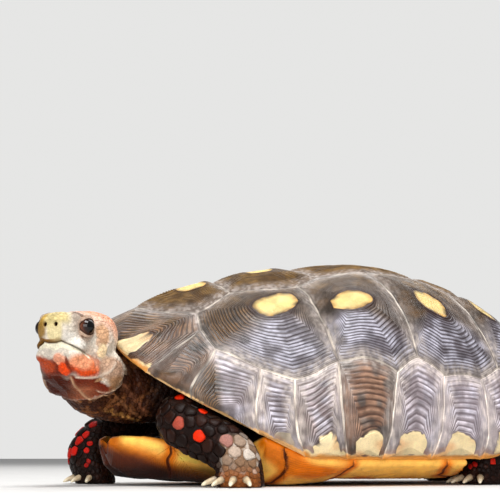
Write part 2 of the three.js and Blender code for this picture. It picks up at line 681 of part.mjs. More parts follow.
for (const [sideName, side] of [["left", -1], ["right", 1]]) {
  const p = PLASTRON_SEAMS;
  const mid = MIDLINE_GAP * side;
  const edge = side;
  const plates = {
    gular: [[-148, mid], [-148, edge], [-142, edge], [-133, edge], [-121, edge], [p.gular, mid]],
    humeral: [
      [p.gular, mid], [-121, edge], [-108, edge], [-89, edge],
      [-83, 0.66 * edge], [-75, 0.42 * edge], [p.humeral, mid],
    ],
    pectoral: [
      [p.humeral, mid], [-75, 0.42 * edge], [-83, 0.66 * edge], [-89, edge],
      [-80, edge], [-60, edge], [-26, edge], [-30, 0.82 * edge], [p.pectoral, mid],
    ],
    abdominal: [
      [p.pectoral, mid], [-30, 0.82 * edge], [-26, edge],
      [0, edge], [26, edge], [52, edge], [60, edge], [p.abdominal, mid],
    ],
    femoral: [[p.abdominal, mid], [60, edge], [80, edge], [102, edge], [p.femoral, mid]],
    anal: [[p.femoral, mid], [102, edge], [122, edge], [137, edge], [p.anal, mid]],
  };
  for (const [name, corners] of Object.entries(plates)) {
    const options = {
      surface: plastronPoint, thickness: PLASTRON_THICKNESS, rings: [], swell: PLASTRON_SWELL,
    };
    addPlate(`${name}_${sideName}`, corners, COLORS.plastron, options);
  }
}

addPart("trunk", trunk(0), COLORS.skin);
const trunkCut = toManifold(trunk(PART_GAP));

// where the claws of each foot sit: reach from its centre, headings in plan, height and dip
const LEFT_HAND = { centre: [-96, -80], reach: 9, headings: [142, 172, 202, 232, 262], height: 5, drop: 3.6 };
const RIGHT_HAND = { centre: [-132, 57], reach: 9, headings: [112, 142, 172, 202, 232], height: 5, drop: 3.6 };
const LEFT_FOOT = { centre: [73, -68], reach: 8.5, headings: [150, 178, 206, 234], height: 5, drop: 3.6 };
const RIGHT_FOOT = { centre: [130, 59], reach: 8.5, headings: [104, 132, 160, 188], height: 5, drop: 3.6 };

/** Cutters of the trunk and of the shell plates whose names match. */
const near = (pattern) => [
  trunkCut,
  ...Object.keys(shellCutters).filter((name) => pattern.test(name)).map((name) => shellCutters[name]),
];
const nearForeleg = (side) => near(new RegExp(
  `^(marginal_${side}_[2345]|costal_${side}_1|humeral_${side}|pectoral_${side})$`));
const nearHindleg = (side) => near(new RegExp(
  `^(marginal_${side}_([89]|10|11)|femoral_${side}|abdominal_${side}|anal_${side})$`));
addPart("foreleg_left", leg(FORE_LEFT, LEFT_HAND, nearForeleg("left")), COLORS.skin);
addPart("foreleg_right", leg(FORE_RIGHT, RIGHT_HAND, nearForeleg("right")), COLORS.skin);
addPart("hindleg_left", leg(HIND_LEFT, LEFT_FOOT, nearHindleg("left")), COLORS.skin);
addPart("hindleg_right", leg(HIND_RIGHT, RIGHT_FOOT, nearHindleg("right")), COLORS.skin);

const hindCuts = [HIND_LEFT, HIND_RIGHT].map((rows) => toManifold(limb(rows, { grow: PART_GAP })));
const nearTail = near(/^(supracaudal|anal|femoral|marginal_right_11)/);
const tail = carve(toManifold(limb(TAIL)), [...nearTail, ...hindCuts]);
addPart("tail", fromManifold(tail), COLORS.skin);

const eyes = [1, -1].map((side) => headPoint(EYE_PLACE.ahead, side * EYE_PLACE.side, EYE_PLACE.up));
const sockets = eyes.map((eye) => toManifold(ball(eye, EYE_RADIUS + PART_GAP, 16, 10)));
const rimCuts = near(/^(marginal_left_1|marginal_right_1|gular)/);
addPart("head", fromManifold(carve(toManifold(headShape(SKULL)), [...sockets, ...rimCuts])), COLORS.head);

const skullCut = toManifold(headShape(SKULL, { grow: PART_GAP }));
const jawCut = toManifold(headShape(JAW, { grow: PART_GAP }));
addPart("lower_jaw", fromManifold(carve(toManifold(headShape(JAW)), [skullCut, ...rimCuts])), COLORS.jaw);

const foreCuts = [FORE_LEFT, FORE_RIGHT].map((rows) => toManifold(limb(rows, { grow: PART_GAP })));
const neck = carve(toManifold(limb(NECK, { sides: 18 })), [skullCut, jawCut, ...foreCuts, ...rimCuts]);
addPart("neck", fromManifold(neck), COLORS.skin);

addPart("eye_left", ball(eyes[0], EYE_RADIUS, 12, 8), COLORS.eye, 0.15);
addPart("eye_right", ball(eyes[1], EYE_RADIUS, 12, 8), COLORS.eye, 0.15);

// the origin goes to the floor under the middle of the whole body's outline
const box = new THREE.Box3().setFromObject(root);
for (const mesh of root.children) {
  mesh.geometry.translate(-(box.min.x + box.max.x) / 2, -(box.min.y + box.max.y) / 2, 0);
}

export default root;
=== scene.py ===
"""Red-footed tortoise, a still life-size model: the looks, built over its CAD frame.

Shapes are worked out in millimetres from the floor point under the middle of the shell, with +Z up
and the head end at -X, and put into the frame's metres when a mesh is made.
"""
import json
import logging
import math
from collections.abc import Callable
from dataclasses import dataclass
from enum import Enum

import bmesh
import bpy
import numpy as np
from mathutils import Matrix, Vector
from mathutils.bvhtree import BVHTree
from mathutils.kdtree import KDTree

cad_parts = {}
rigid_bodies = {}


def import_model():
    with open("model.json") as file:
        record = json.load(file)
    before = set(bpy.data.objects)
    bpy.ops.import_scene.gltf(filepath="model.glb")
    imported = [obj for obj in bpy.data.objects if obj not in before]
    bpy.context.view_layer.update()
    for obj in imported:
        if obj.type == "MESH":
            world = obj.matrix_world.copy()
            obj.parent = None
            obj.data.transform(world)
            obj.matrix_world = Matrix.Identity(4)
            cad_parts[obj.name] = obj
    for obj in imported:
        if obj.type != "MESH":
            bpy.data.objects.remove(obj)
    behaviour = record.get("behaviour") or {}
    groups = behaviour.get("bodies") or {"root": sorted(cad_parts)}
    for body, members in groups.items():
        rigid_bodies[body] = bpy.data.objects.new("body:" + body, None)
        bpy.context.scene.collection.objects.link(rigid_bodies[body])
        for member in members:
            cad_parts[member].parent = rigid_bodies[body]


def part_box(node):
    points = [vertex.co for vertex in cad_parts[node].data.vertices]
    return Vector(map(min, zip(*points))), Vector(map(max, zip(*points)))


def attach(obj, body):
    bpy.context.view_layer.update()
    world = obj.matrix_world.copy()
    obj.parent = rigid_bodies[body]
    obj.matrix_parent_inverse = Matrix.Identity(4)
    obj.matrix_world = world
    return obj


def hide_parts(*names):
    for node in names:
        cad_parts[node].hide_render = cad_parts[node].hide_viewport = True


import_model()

Array = np.ndarray
Piece = bpy.types.Object
Socket = bpy.types.NodeSocket
Triple = tuple[float, float, float]

log = logging.getLogger("tortoise")
MM = 0.001
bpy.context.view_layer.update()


# ---------------------------------------------------------------- small maths
def smooth(x: Array) -> Array:
    """Soft step from 0 to 1 as x goes from 0 to 1."""
    f = np.clip(x, 0.0, 1.0)
    return f * f * (3.0 - 2.0 * f)


def rise(x: Array, start: float | Array, width: float | Array) -> Array:
    """Soft step from 0 where x is at start to 1 where it is a width past it."""
    return smooth((x - start) / width)


def fall(x: Array, start: float | Array, width: float | Array) -> Array:
    """Soft step from 1 where x is at start to 0 where it is a width past it."""
    return 1 - rise(x, start, width)


def unit(v: Array) -> Array:
    """The vectors of v at length 1."""
    return v / np.maximum(np.linalg.norm(v, axis=-1, keepdims=True), 1e-12)


def mix(a: Array, b: Array, f: Array) -> Array:
    """a where f is 0 and b where f is 1; f has one value per point."""
    return a + (b - a) * np.asarray(f)[..., None]


def tone(code: int) -> Array:
    """Linear colour of a 0xRRGGBB code."""
    c = np.array([code >> 16, code >> 8 & 255, code & 255]) / 255.0
    return np.where(c < 0.04045, c / 12.92, ((c + 0.055) / 1.055) ** 2.4)


def lay(under: Array, colour: int, share: Array) -> Array:
    """Lays a 0xRRGGBB colour over others by a share from 0 to 1."""
    return mix(under, tone(colour)[None], share)


def between(first: int, second: int, f: Array) -> Array:
    """Linear colours between two 0xRRGGBB codes: first where f is 0, second where it is 1."""
    return mix(tone(first)[None], tone(second)[None], f)


def length(rows: Array) -> Array:
    """Length of each row."""
    return np.linalg.norm(rows, axis=-1)


def noise(points: Array, size: float, seed: int = 0) -> Array:
    """Smooth random field.

    Args:
        points: places in mm, one row each.
        size: width of a lump in mm.
        seed: picks one of many fields.

    Returns:
        A value from 0 to 1 for each place.
    """
    p = np.asarray(points, float) / size + seed * 13.7
    cell = np.floor(p).astype(np.int64)
    f = p - cell
    f = f * f * (3 - 2 * f)
    total = np.zeros(len(p))
    for k in range(8):
        step = np.array([k & 1, k >> 1 & 1, k >> 2 & 1])
        c = (cell + step).astype(np.uint64)
        h = c[:, 0] * np.uint64(374761393) + c[:, 1] * np.uint64(668265263) + c[:, 2] * np.uint64(2246822519)
        h = (h ^ (h >> np.uint64(13))) * np.uint64(1274126177)
        h = (h ^ (h >> np.uint64(16))) & np.uint64(0xFFFF)
        total += np.prod(np.where(step, f, 1 - f), axis=1) * h.astype(float) / 65535.0
    return total


def along_keys(rows: Array, per_key: int) -> Array:
    """Rows on the smooth curve through the key rows (Catmull-Rom).

    Args:
        rows: key rows of numbers.
        per_key: rows made from each key to the next.

    Returns:
        The finer rows, with the keys among them.
    """
    keys = np.asarray(rows, float)
    last = len(keys) - 1
    at = np.arange(last * per_key + 1) / per_key
    i = np.minimum(at.astype(int), last - 1)
    s = (at - i)[:, None]
    p0, p1 = keys[np.maximum(i - 1, 0)], keys[i]
    p2, p3 = keys[i + 1], keys[np.minimum(i + 2, last)]
    return p1 + 0.5 * s * (p2 - p0 + s * (2 * p0 - 5 * p1 + 4 * p2 - p3 + s * (3 * (p1 - p2) + p3 - p0)))


# ---------------------------------------------------------------- head and body frames
@dataclass(frozen=True)
class HeadFrame:
    """Head coordinates: ahead of the eyes, to the animal's left, and up, in mm."""

    centre: Triple = (-186.0, -39.0, 90.0)
    turn: float = 47.0
    eye_place: Triple = (1.0, 12.3, 0.0)

    def axes(self) -> Array:
        """Rows are the directions ahead, left and up."""
        c, s = math.cos(math.radians(self.turn)), math.sin(math.radians(self.turn))
        return np.array([[-c, -s, 0.0], [s, -c, 0.0], [0.0, 0.0, 1.0]])

    def out(self, local: Array) -> Array:
        """Body places of head places."""
        return np.asarray(local, float) @ self.axes() + np.array(self.centre)

    def into(self, points: Array) -> Array:
        """Head places of body places."""
        return (np.asarray(points, float) - np.array(self.centre)) @ self.axes().T

    def spot(self, place: Triple, side: int = 1) -> Array:
        """Body place of a head place, mirrored to the right if side is -1."""
        return self.out(np.array([place]) * [1, side, 1])[0]


HEAD = HeadFrame()


def frame_origin() -> Array:
    """Where the floor point under the middle of the shell lies in the frame, in mm."""
    low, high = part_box("eye_left")
    return (np.array(low) + np.array(high)) / 2 / MM - HEAD.spot(HEAD.eye_place)


ORIGIN = frame_origin()


# ---------------------------------------------------------------- mesh making
def make_piece(name: str, points: Array, faces: list, tint: Array | None = None) -> Piece:
    """A smooth-shaded mesh object from points in mm.

    Args:
        name: the piece's name.
        points: body places in mm.
        faces: vertex numbers of each face.
        tint: linear colour of each vertex, kept as the attribute "tint".

    Returns:
        The new object, linked to the scene.
    """
    mesh = bpy.data.meshes.new(name)
    mesh.from_pydata(((points + ORIGIN) * MM).tolist(), [], faces)
    piece = bpy.data.objects.new(name, mesh)
    shade_smooth(piece)
    bpy.context.scene.collection.objects.link(piece)
    if tint is not None:
        set_tint(piece, tint)
    mesh.update()
    return piece


def shade_smooth(piece: Piece) -> None:
    """Shades every face of the piece smooth."""
    piece.data.polygons.foreach_set("use_smooth", [True] * len(piece.data.polygons))


def read(items: bpy.types.bpy_prop_collection, name: str, kind: type = float) -> Array:
    """One row of three numbers for each item, from its property of that name.

    Args:
        items: a mesh's vertices or faces.
        name: the property.
        kind: type of its numbers.

    Returns:
        One row for each item.
    """
    flat = np.empty(len(items) * 3, kind)
    items.foreach_get(name, flat)
    return flat.reshape(-1, 3)


def set_tint(piece: Piece, tint: Array) -> None:
    """Keeps a linear colour per vertex as the attribute "tint".

    Args:
        piece: the piece.
        tint: one linear colour for each vertex.
    """
    layer = piece.data.attributes.new("tint", "FLOAT_COLOR", "POINT")
    rgba = np.ones((len(tint), 4), np.float32)
    rgba[:, :3] = np.clip(tint, 0, 1)
    layer.data.foreach_set("color", rgba.ravel())


def set_uv(piece: Piece, name: str, uv: Array) -> None:
    """Gives the piece a UV map with one place per vertex.

    Args:
        piece: the piece.
        name: the map's name.
        uv: one map place for each vertex.
    """
    layer = piece.data.uv_layers.new(name=name)
    corners = np.empty(len(piece.data.loops), np.int32)
    piece.data.loops.foreach_get("vertex_index", corners)
    layer.data.foreach_set("uv", uv[corners].astype(np.float32).ravel())


def body_points(piece: Piece) -> Array:
    """The vertices of a piece as body places in mm."""
    return read(piece.data.vertices, "co") / MM - ORIGIN


def normals(piece: Piece) -> Array:
    """Outward directions of a piece's vertices."""
    return read(piece.data.vertices, "normal", np.float32).astype(float)


def put_points(piece: Piece, points: Array) -> None:
    """Moves the vertices of a piece to body places in mm."""
    piece.data.vertices.foreach_set("co", ((points + ORIGIN) * MM).ravel())
    piece.data.update()


def tree_of(points: Array) -> KDTree:
    """A balanced search tree over the points."""
    tree = KDTree(len(points))
    for k, place in enumerate(points):
        tree.insert(place, k)
    tree.balance()
    return tree


def ring_faces(rows: int, columns: int, first: int = 0) -> list:
    """Quads between closed rings of vertices numbered row by row.

    Args:
        rows: number of rings.
        columns: vertices in a ring.
        first: number of the first vertex.

    Returns:
        Vertex numbers of each quad.
    """
    grid = first + np.arange(rows * columns).reshape(rows, columns)
    turned = np.roll(grid, -1, axis=1)
    return np.stack([grid[:-1], turned[:-1], turned[1:], grid[1:]], -1).reshape(-1, 4).tolist()


def choose_only(piece: Piece) -> None:
    """Deselects all, then selects the piece and makes it active."""
    for other in bpy.context.view_layer.objects:
        other.select_set(False)
    piece.select_set(True)
    bpy.context.view_layer.objects.active = piece


def apply_modifier(piece: Piece, kind: str, **settings: object) -> None:
    """Adds a modifier with the settings to the active piece and applies it.

    Args:
        piece: the active piece.
        kind: the modifier's type.
        settings: its properties.
    """
    modifier = piece.modifiers.new(kind.lower(), kind)
    for key, value in settings.items():
        setattr(modifier, key, value)
    bpy.ops.object.modifier_apply(modifier=modifier.name)


def declare(piece: Piece, slot: str, *nodes: str) -> None:
    """Rides the piece on the body, in place of the CAD nodes.

    Args:
        piece: the piece.
        slot: not used.
        nodes: CAD nodes that it stands for.
    """
    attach(piece, "root")
    if nodes:
        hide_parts(*nodes)
    log.info("%s: %d vertices", piece.name, len(piece.data.vertices))


# ---------------------------------------------------------------- finishes
class Graph:
    """A material's node graph, built with short calls."""

    def __init__(self, name: str) -> None:
        """Starts a material with a Principled shader.

        Args:
            name: the material's name.
        """
        self.material = bpy.data.materials.new(name)
        self.material.use_nodes = True
        self.nodes = self.material.node_tree.nodes
        self.links = self.material.node_tree.links
        self.shader = self.nodes["Principled BSDF"]

    def add(self, kind: str, inputs: dict | None = None, **settings: object) -> bpy.types.Node:
        """A node of the kind, with settings, values and links.

        Args:
            kind: node type without its ShaderNode prefix.
            inputs: socket name or number to a value or an output socket.
            settings: properties of the node.

        Returns:
            The node.
        """
        node = self.nodes.new("ShaderNode" + kind)
        for key, value in settings.items():
            setattr(node, key, value)
        for key, value in (inputs or {}).items():
            if isinstance(value, Socket):
                self.links.new(value, node.inputs[key])
            else:
                node.inputs[key].default_value = value
        return node

    def tint(self) -> Socket:
        """The colour kept on the vertices."""
        return self.add("Attribute", attribute_name="tint").outputs["Color"]

    def grain(self, scale: float, detail: float = 4.0) -> Socket:
        """Noise on the object's own coordinates.

        Args:
            scale: noise cells in a metre.
            detail: octaves of the noise.

        Returns:
            The noise, from 0 to 1.
        """
        place = self.add("TexCoord").outputs["Object"]
        node = self.add("TexNoise", {"Vector": place, "Scale": scale, "Detail": detail})
        return node.outputs["Fac"]

    def ramp(self, value: Socket, low: float, high: float, to_low: float,
             to_high: float) -> Socket:
        """The value carried from low..high to to_low..to_high."""
        inputs = {"Value": value, "From Min": low, "From Max": high, "To Min": to_low, "To Max": to_high}
        return self.add("MapRange", inputs).outputs["Result"]

    def shade(self, colour: Socket, amount: Socket) -> Socket:
        """The colour scaled by the amount."""
        node = self.add("VectorMath", {0: colour, 3: amount}, operation="SCALE")
        return node.outputs["Vector"]

    def vary(self, colour: Socket, grain: Socket, low: float, high: float) -> Socket:
        """The colour scaled from low to high as the grain rises over its usual range."""
        return self.shade(colour, self.ramp(grain, *GRAIN, low, high))

    def relief(self, height: Socket, depth: float, below: Socket | None = None) -> Socket:
        """A bump of the given depth in mm, on top of another bump if one is given.

        Args:
            height: the relief, from 0 to 1.
            depth: its depth in mm.
            below: a bump that it lies on.

        Returns:
            The normal.
        """
        inputs = {"Height": height, "Strength": 1.0, "Distance": depth * MM}
        if below is not None:
            inputs["Normal"] = below
        return self.add("Bump", inputs).outputs["Normal"]

    def done(self, colour: Socket, fixed: dict[str, float], **links: Socket) -> bpy.types.Material:
        """Sets the shader and gives the material.

        Args:
            colour: goes to Base Color.
            fixed: shader socket name to a value that is the same all over.
            links: further shader socket names to outputs.

        Returns:
            The material.
        """
        for name, output in {"Base Color": colour, **links}.items():
            self.links.new(output, self.shader.inputs[name])
        for name, value in fixed.items():
            self.shader.inputs[name].default_value = value
        return self.material


# the range that nearly all of a noise lies in
GRAIN = (0.3, 0.7)


@dataclass(frozen=True)
class HornFinish:
    """Shell horn: tinted, with fine growth lines along the plate's own UV map."""

    name: str
    gloss: float = 0.36
    lines: float = 250.0
    line_depth: float = 0.06
    grain_depth: float = 0.1
    wander: float = 2.2
    coat: float = 0.12
    specular: float = 0.5

    def make(self) -> bpy.types.Material:
        """Builds the material: growth lines, broad clouds and fine grain."""
        g = Graph(self.name)
        uv = g.add("UVMap", uv_map="growth").outputs["UV"]
        across = g.add("SeparateXYZ", {0: uv}).outputs["Y"]
        phase = g.add("Math", {0: across, 1: self.lines}, operation="MULTIPLY").outputs[0]
        bend = {0: g.grain(260.0), 1: self.wander, 2: phase}
        phase = g.add("Math", bend, operation="MULTIPLY_ADD").outputs[0]
        wave = g.add("Math", {0: phase}, operation="SINE").outputs[0]
        fine, broad = g.grain(1500.0, 6.0), g.grain(140.0, 5.0)
        colour = g.shade(g.tint(), g.ramp(wave, -1.0, 1.0, 0.88, 1.12))
        colour = g.vary(g.vary(colour, broad, 0.86, 1.14), fine, 0.9, 1.1)
        fixed = {"Specular IOR Level": self.specular, "Coat Weight": self.coat, "Coat Roughness": 0.3}
        return g.done(colour, fixed,
                      Roughness=g.ramp(broad, 0.25, 0.75, self.gloss - 0.08, self.gloss + 0.12),
                      Normal=g.relief(fine, self.grain_depth, g.relief(wave, self.line_depth)))


@dataclass(frozen=True)
class SkinFinish:
    """Live skin: tinted, with fine wrinkles and pores."""

    name: str = "skin_live"
    roughness: float = 0.52
    wrinkle: float = 0.25
    pores: float = 900.0
    specular: float = 0.12

    def make(self) -> bpy.types.Material:
        """Builds the material: cracks between pores, clouds and fine grain."""
        g = Graph(self.name)
        place = g.add("TexCoord").outputs["Object"]
        cells = g.add("TexVoronoi", {"Vector": place, "Scale": self.pores}, feature="DISTANCE_TO_EDGE")
        cracks = g.ramp(cells.outputs["Distance"], 0.0, 0.12, 0.0, 1.0)
        fine, broad = g.grain(1900.0, 6.0), g.grain(180.0, 4.0)
        colour = g.vary(g.shade(g.tint(), g.ramp(cracks, 0.0, 1.0, 0.8, 1.04)), broad, 0.85, 1.15)
        return g.done(colour, {"Specular IOR Level": self.specular},
                      Roughness=g.ramp(fine, *GRAIN, self.roughness - 0.1, self.roughness + 0.1),
                      Normal=g.relief(fine, self.wrinkle, g.relief(cracks, self.wrinkle * 0.5)))


@dataclass(frozen=True)
class ScaleFinish:
    """Horny scale: tinted, glossier than skin, with fine ridges and worn flecks."""

    name: str
    roughness: float = 0.4
    specular: float = 0.12

    def make(self) -> bpy.types.Material:
        """Builds the material: worn flecks, clouds and fine ridges."""
        g = Graph(self.name)
        flecks, fine, broad = g.grain(1100.0, 5.0), g.grain(2600.0, 4.0), g.grain(240.0, 4.0)
        colour = g.vary(g.shade(g.tint(), g.ramp(flecks, 0.35, 0.65, 0.82, 1.16)), broad, 0.86, 1.14)
        return g.done(colour, {"Specular IOR Level": self.specular},
                      Roughness=g.ramp(fine, *GRAIN, self.roughness - 0.08, self.roughness + 0.14),
                      Normal=g.relief(fine, 0.06, g.relief(flecks, 0.12)))


@dataclass(frozen=True)
class EyeFinish:
    """Wet eye: black pupil in a dark brown iris, read off the tint."""

    name: str = "eye_wet"

    def make(self) -> bpy.types.Material:
        """Builds the material: streaks in the iris under a wet gloss."""
        g = Graph(self.name)
        colour = g.vary(g.tint(), g.grain(2600.0, 3.0), 0.7, 1.3)
        return g.done(colour, {"Roughness": 0.06, "Specular IOR Level": 0.3})


@dataclass(frozen=True)
class ClawFinish:
    """Claw horn: ivory with darker lengthwise streaks."""

    name: str = "claw_horn"

    def make(self) -> bpy.types.Material:
        """Builds the material: streaks in colour, gloss and height."""
        g = Graph(self.name)
        streaks = g.grain(700.0, 5.0)
        colour = g.vary(g.tint(), streaks, 0.75, 1.2)
        return g.done(colour, {}, Roughness=g.ramp(streaks, *GRAIN, 0.3, 0.5), Normal=g.relief(streaks, 0.15))


@dataclass(frozen=True)
class FloorFinish:
    """Plain pale studio floor with a faint grain."""

    name: str = "studio_floor"
    pale: tuple[float, float, float, float] = (0.72, 0.71, 0.69, 1.0)

    def make(self) -> bpy.types.Material:
        """Builds the material: one pale colour with a faint grain."""
        g = Graph(self.name)
        pale = g.add("RGB")
        pale.outputs[0].default_value = self.pale
        return g.done(g.vary(pale.outputs[0], g.grain(30.0, 6.0), 0.97, 1.03), {"Roughness": 0.8})


# ---------------------------------------------------------------- shell form
@dataclass(frozen=True)
class ShellForm:
    """The smooth surfaces that the plates lie on; triples are front, side and rear values."""

    length: float = 300.0
    half_width: float = 93.0
    crown_height: float = 137.3
    crown_x: float = 12.5
    waist: float = 0.03
    outline_power: tuple[float, float] = (2.4, 2.7)
    edge_height: Triple = (91.5, 15.0, 21.0)
    rear_arch: float = 16.0
    sweep: tuple[float, float] = (53.0, 60.0)
    sweep_power: float = 1.2
    curl: Triple = (5.0, 18.0, 14.0)
    tuck: Triple = (0.0, 0.06, 0.02)
    plan_power: Triple = (1.87, 2.3, 2.15)
    rise_power: Triple = (1.08, 2.2, 1.47)
    edge_t: float = 1.25
    lobe_x: tuple = (-149, -145, -136, -119, -96, -88, -80, -58, -34, -26, 52, 61, 96, 122, 137)
    lobe_width: tuple = (7, 15, 28, 41, 50, 54, 0, 0, 0, 0, 0, 56, 50, 38, 20)
    lobe_edge: tuple = (27, 28, 27, 23, 12, 11, 25.5, 15.8, 12.4, 12.2, 12.2, 12, 12, 14, 16)
    lobe_flat: tuple = (0.4, 0.4, 0.42, 0.42, 0.42, 0.5, 0.68, 0.72, 0.72, 0.72, 0.7, 0.5, 0.42, 0.42, 0.4)
    lobe_floor: tuple = (20, 12, 6, 4, 2.6, 2.2, 1.8, 1.7, 2.8, 4.5, 4.5, 5, 6, 9, 12)
    bridge_ends: tuple[float, float] = (-80.0, 52.0)
    hollow: float = 2.2

    def blend(self, psi: Array, values: Triple) -> Array:
        """A front, side and rear value blended round the shell; psi is 0 at the rear."""
        ahead, behind = smooth(-np.cos(psi)), smooth(np.cos(psi))
        return values[1] * (1 - ahead - behind) + values[0] * ahead + values[2] * behind

    def outline_radius(self, psi: Array) -> Array:
        """Plan distance from the crown to the widest line.

        Args:
            psi: directions in plan, 0 to the rear.

        Returns:
            Distances in mm.
        """
        c = np.cos(psi)
        reach = np.where(c < 0, self.length / 2 + self.crown_x, self.length / 2 - self.crown_x)
        n = np.where(c < 0, *self.outline_power)
        total = (np.abs(c) / reach) ** n + (np.abs(np.sin(psi)) / self.half_width) ** n
        return total ** (-1 / n) * (1 - self.waist * np.exp(-((c / 0.3) ** 2)))

    def rim_height(self, psi: Array) -> Array:
        """Height of the lower shell edge.

        Args:
            psi: directions in plan, 0 to the rear.

        Returns:
            Heights in mm.
        """
        from_rear = np.abs(np.degrees(np.arctan2(np.sin(psi), np.cos(psi))))
        front, side, rear = self.edge_height
        ahead = np.clip((180 - from_rear) / self.sweep[0], 0, 1)
        height = side + (front - side) * (1 - ahead) ** self.sweep_power
        f = np.clip(from_rear / self.sweep[1], 0, 1)
        return height + (rear - side) * (1 - smooth(f)) + self.rear_arch * np.sin(np.pi * f) ** 2

    def dome(self, uv: Array) -> Array:
        """Carapace points over the disc places uv; radius 1 is the widest line.

        Args:
            uv: disc places, one row each.

        Returns:
            Body places.
        """
        psi = np.arctan2(uv[:, 1], uv[:, 0])
        t = np.hypot(uv[:, 0], uv[:, 1])
        curl = self.blend(psi, self.curl)
        widest = self.rim_height(psi) + curl
        angle = np.pi / 2 * np.clip(t, 0, 1)
        over = np.maximum(0, (t - 1) / (self.edge_t - 1))
        reach = np.sin(angle) ** (2 / self.blend(psi, self.plan_power))
        reach = reach * (1 - self.blend(psi, self.tuck) * over * over)
        climb = np.maximum(0, np.cos(angle)) ** (2 / self.blend(psi, self.rise_power))
        r = self.outline_radius(psi) * reach
        height = widest + (self.crown_height - widest) * climb - curl * over
        return np.stack([self.crown_x + r * np.cos(psi), r * np.sin(psi), height], 1)

    def underside(self, xq: Array) -> Array:
        """Plastron points; q runs from -1 on the left edge to 1 on the right edge.

        Args:
            xq: x in mm and q, one row each.

        Returns:
            Body places.
        """
        x, q = xq[:, 0], xq[:, 1]
        psi = np.radians(np.linspace(30, 150, 241))
        edge = self.dome(self.edge_t * np.stack([np.cos(psi), np.sin(psi)], 1))
        held = np.clip(x, *self.bridge_ends)
        bridge = np.interp(held, edge[::-1, 0], edge[::-1, 1]) - 1.2
        ends = np.array(self.lobe_width, float)
        widths = np.array([np.interp(x, self.lobe_x, np.where(ends == 0, b, ends)) for b in (0.0, 1.0)])
        width = widths[0] + (widths[1] - widths[0]) * bridge
        rim = np.interp(x, self.lobe_x, self.lobe_edge)
        floor = np.interp(x, self.lobe_x, self.lobe_floor)
        flat = np.interp(x, self.lobe_x, self.lobe_flat)
        side = np.clip((np.abs(q) - flat) / (1 - flat), 0, 1)
        hollow = self.hollow * (1 - smooth(np.abs(q) / flat))
        return np.stack([x, q * width, floor + hollow + (rim - floor) * side ** 1.4], 1)

    def on_disc(self, degrees: float, t: float, side: int) -> Array:
        """Disc place at an angle from the front midline; side is -1 left or 1 right."""
        psi = side * math.radians(180 - degrees)
        return np.array([t * math.cos(psi), t * math.sin(psi)])

    def from_plan(self, station: float, y: float, side: int) -> Array:
        """Disc place above a station (0 front, 1 rear), y mm off the midline.

        Args:
            station: 0 at the front of the shell, 1 at the rear.
            y: distance from the midline in mm.
            side: -1 left or 1 right.

        Returns:
            The disc place.
        """
        x = (station - 0.5) * self.length - self.crown_x
        psi = math.atan2(side * y, x)
        reach = math.hypot(x, y) / float(self.outline_radius(np.array(psi)))
        t = 2 / math.pi * math.asin(reach ** (float(self.blend(np.array(psi), self.plan_power)) / 2))
        return np.array([t * math.cos(psi), t * math.sin(psi)])


SHELL = ShellForm()


class Kind(Enum):
    """Kinds of shell plate."""

    VERTEBRAL = "vertebral"
    COSTAL = "costal"
    MARGINAL = "marginal"
    PLASTRON = "plastron"


@dataclass
class Plate:
    """One shell plate: its outline on the surface's own map, and how it grew."""

    name: str
    nodes: tuple[str, ...]
    kind: Kind
    corners: list
    centre: Array
    areola: Triple
    growth: int
    thickness: float = 3.6
    swell: float = 2.6
    mottled: float = 0.0
    rim_patch: float = 1.0


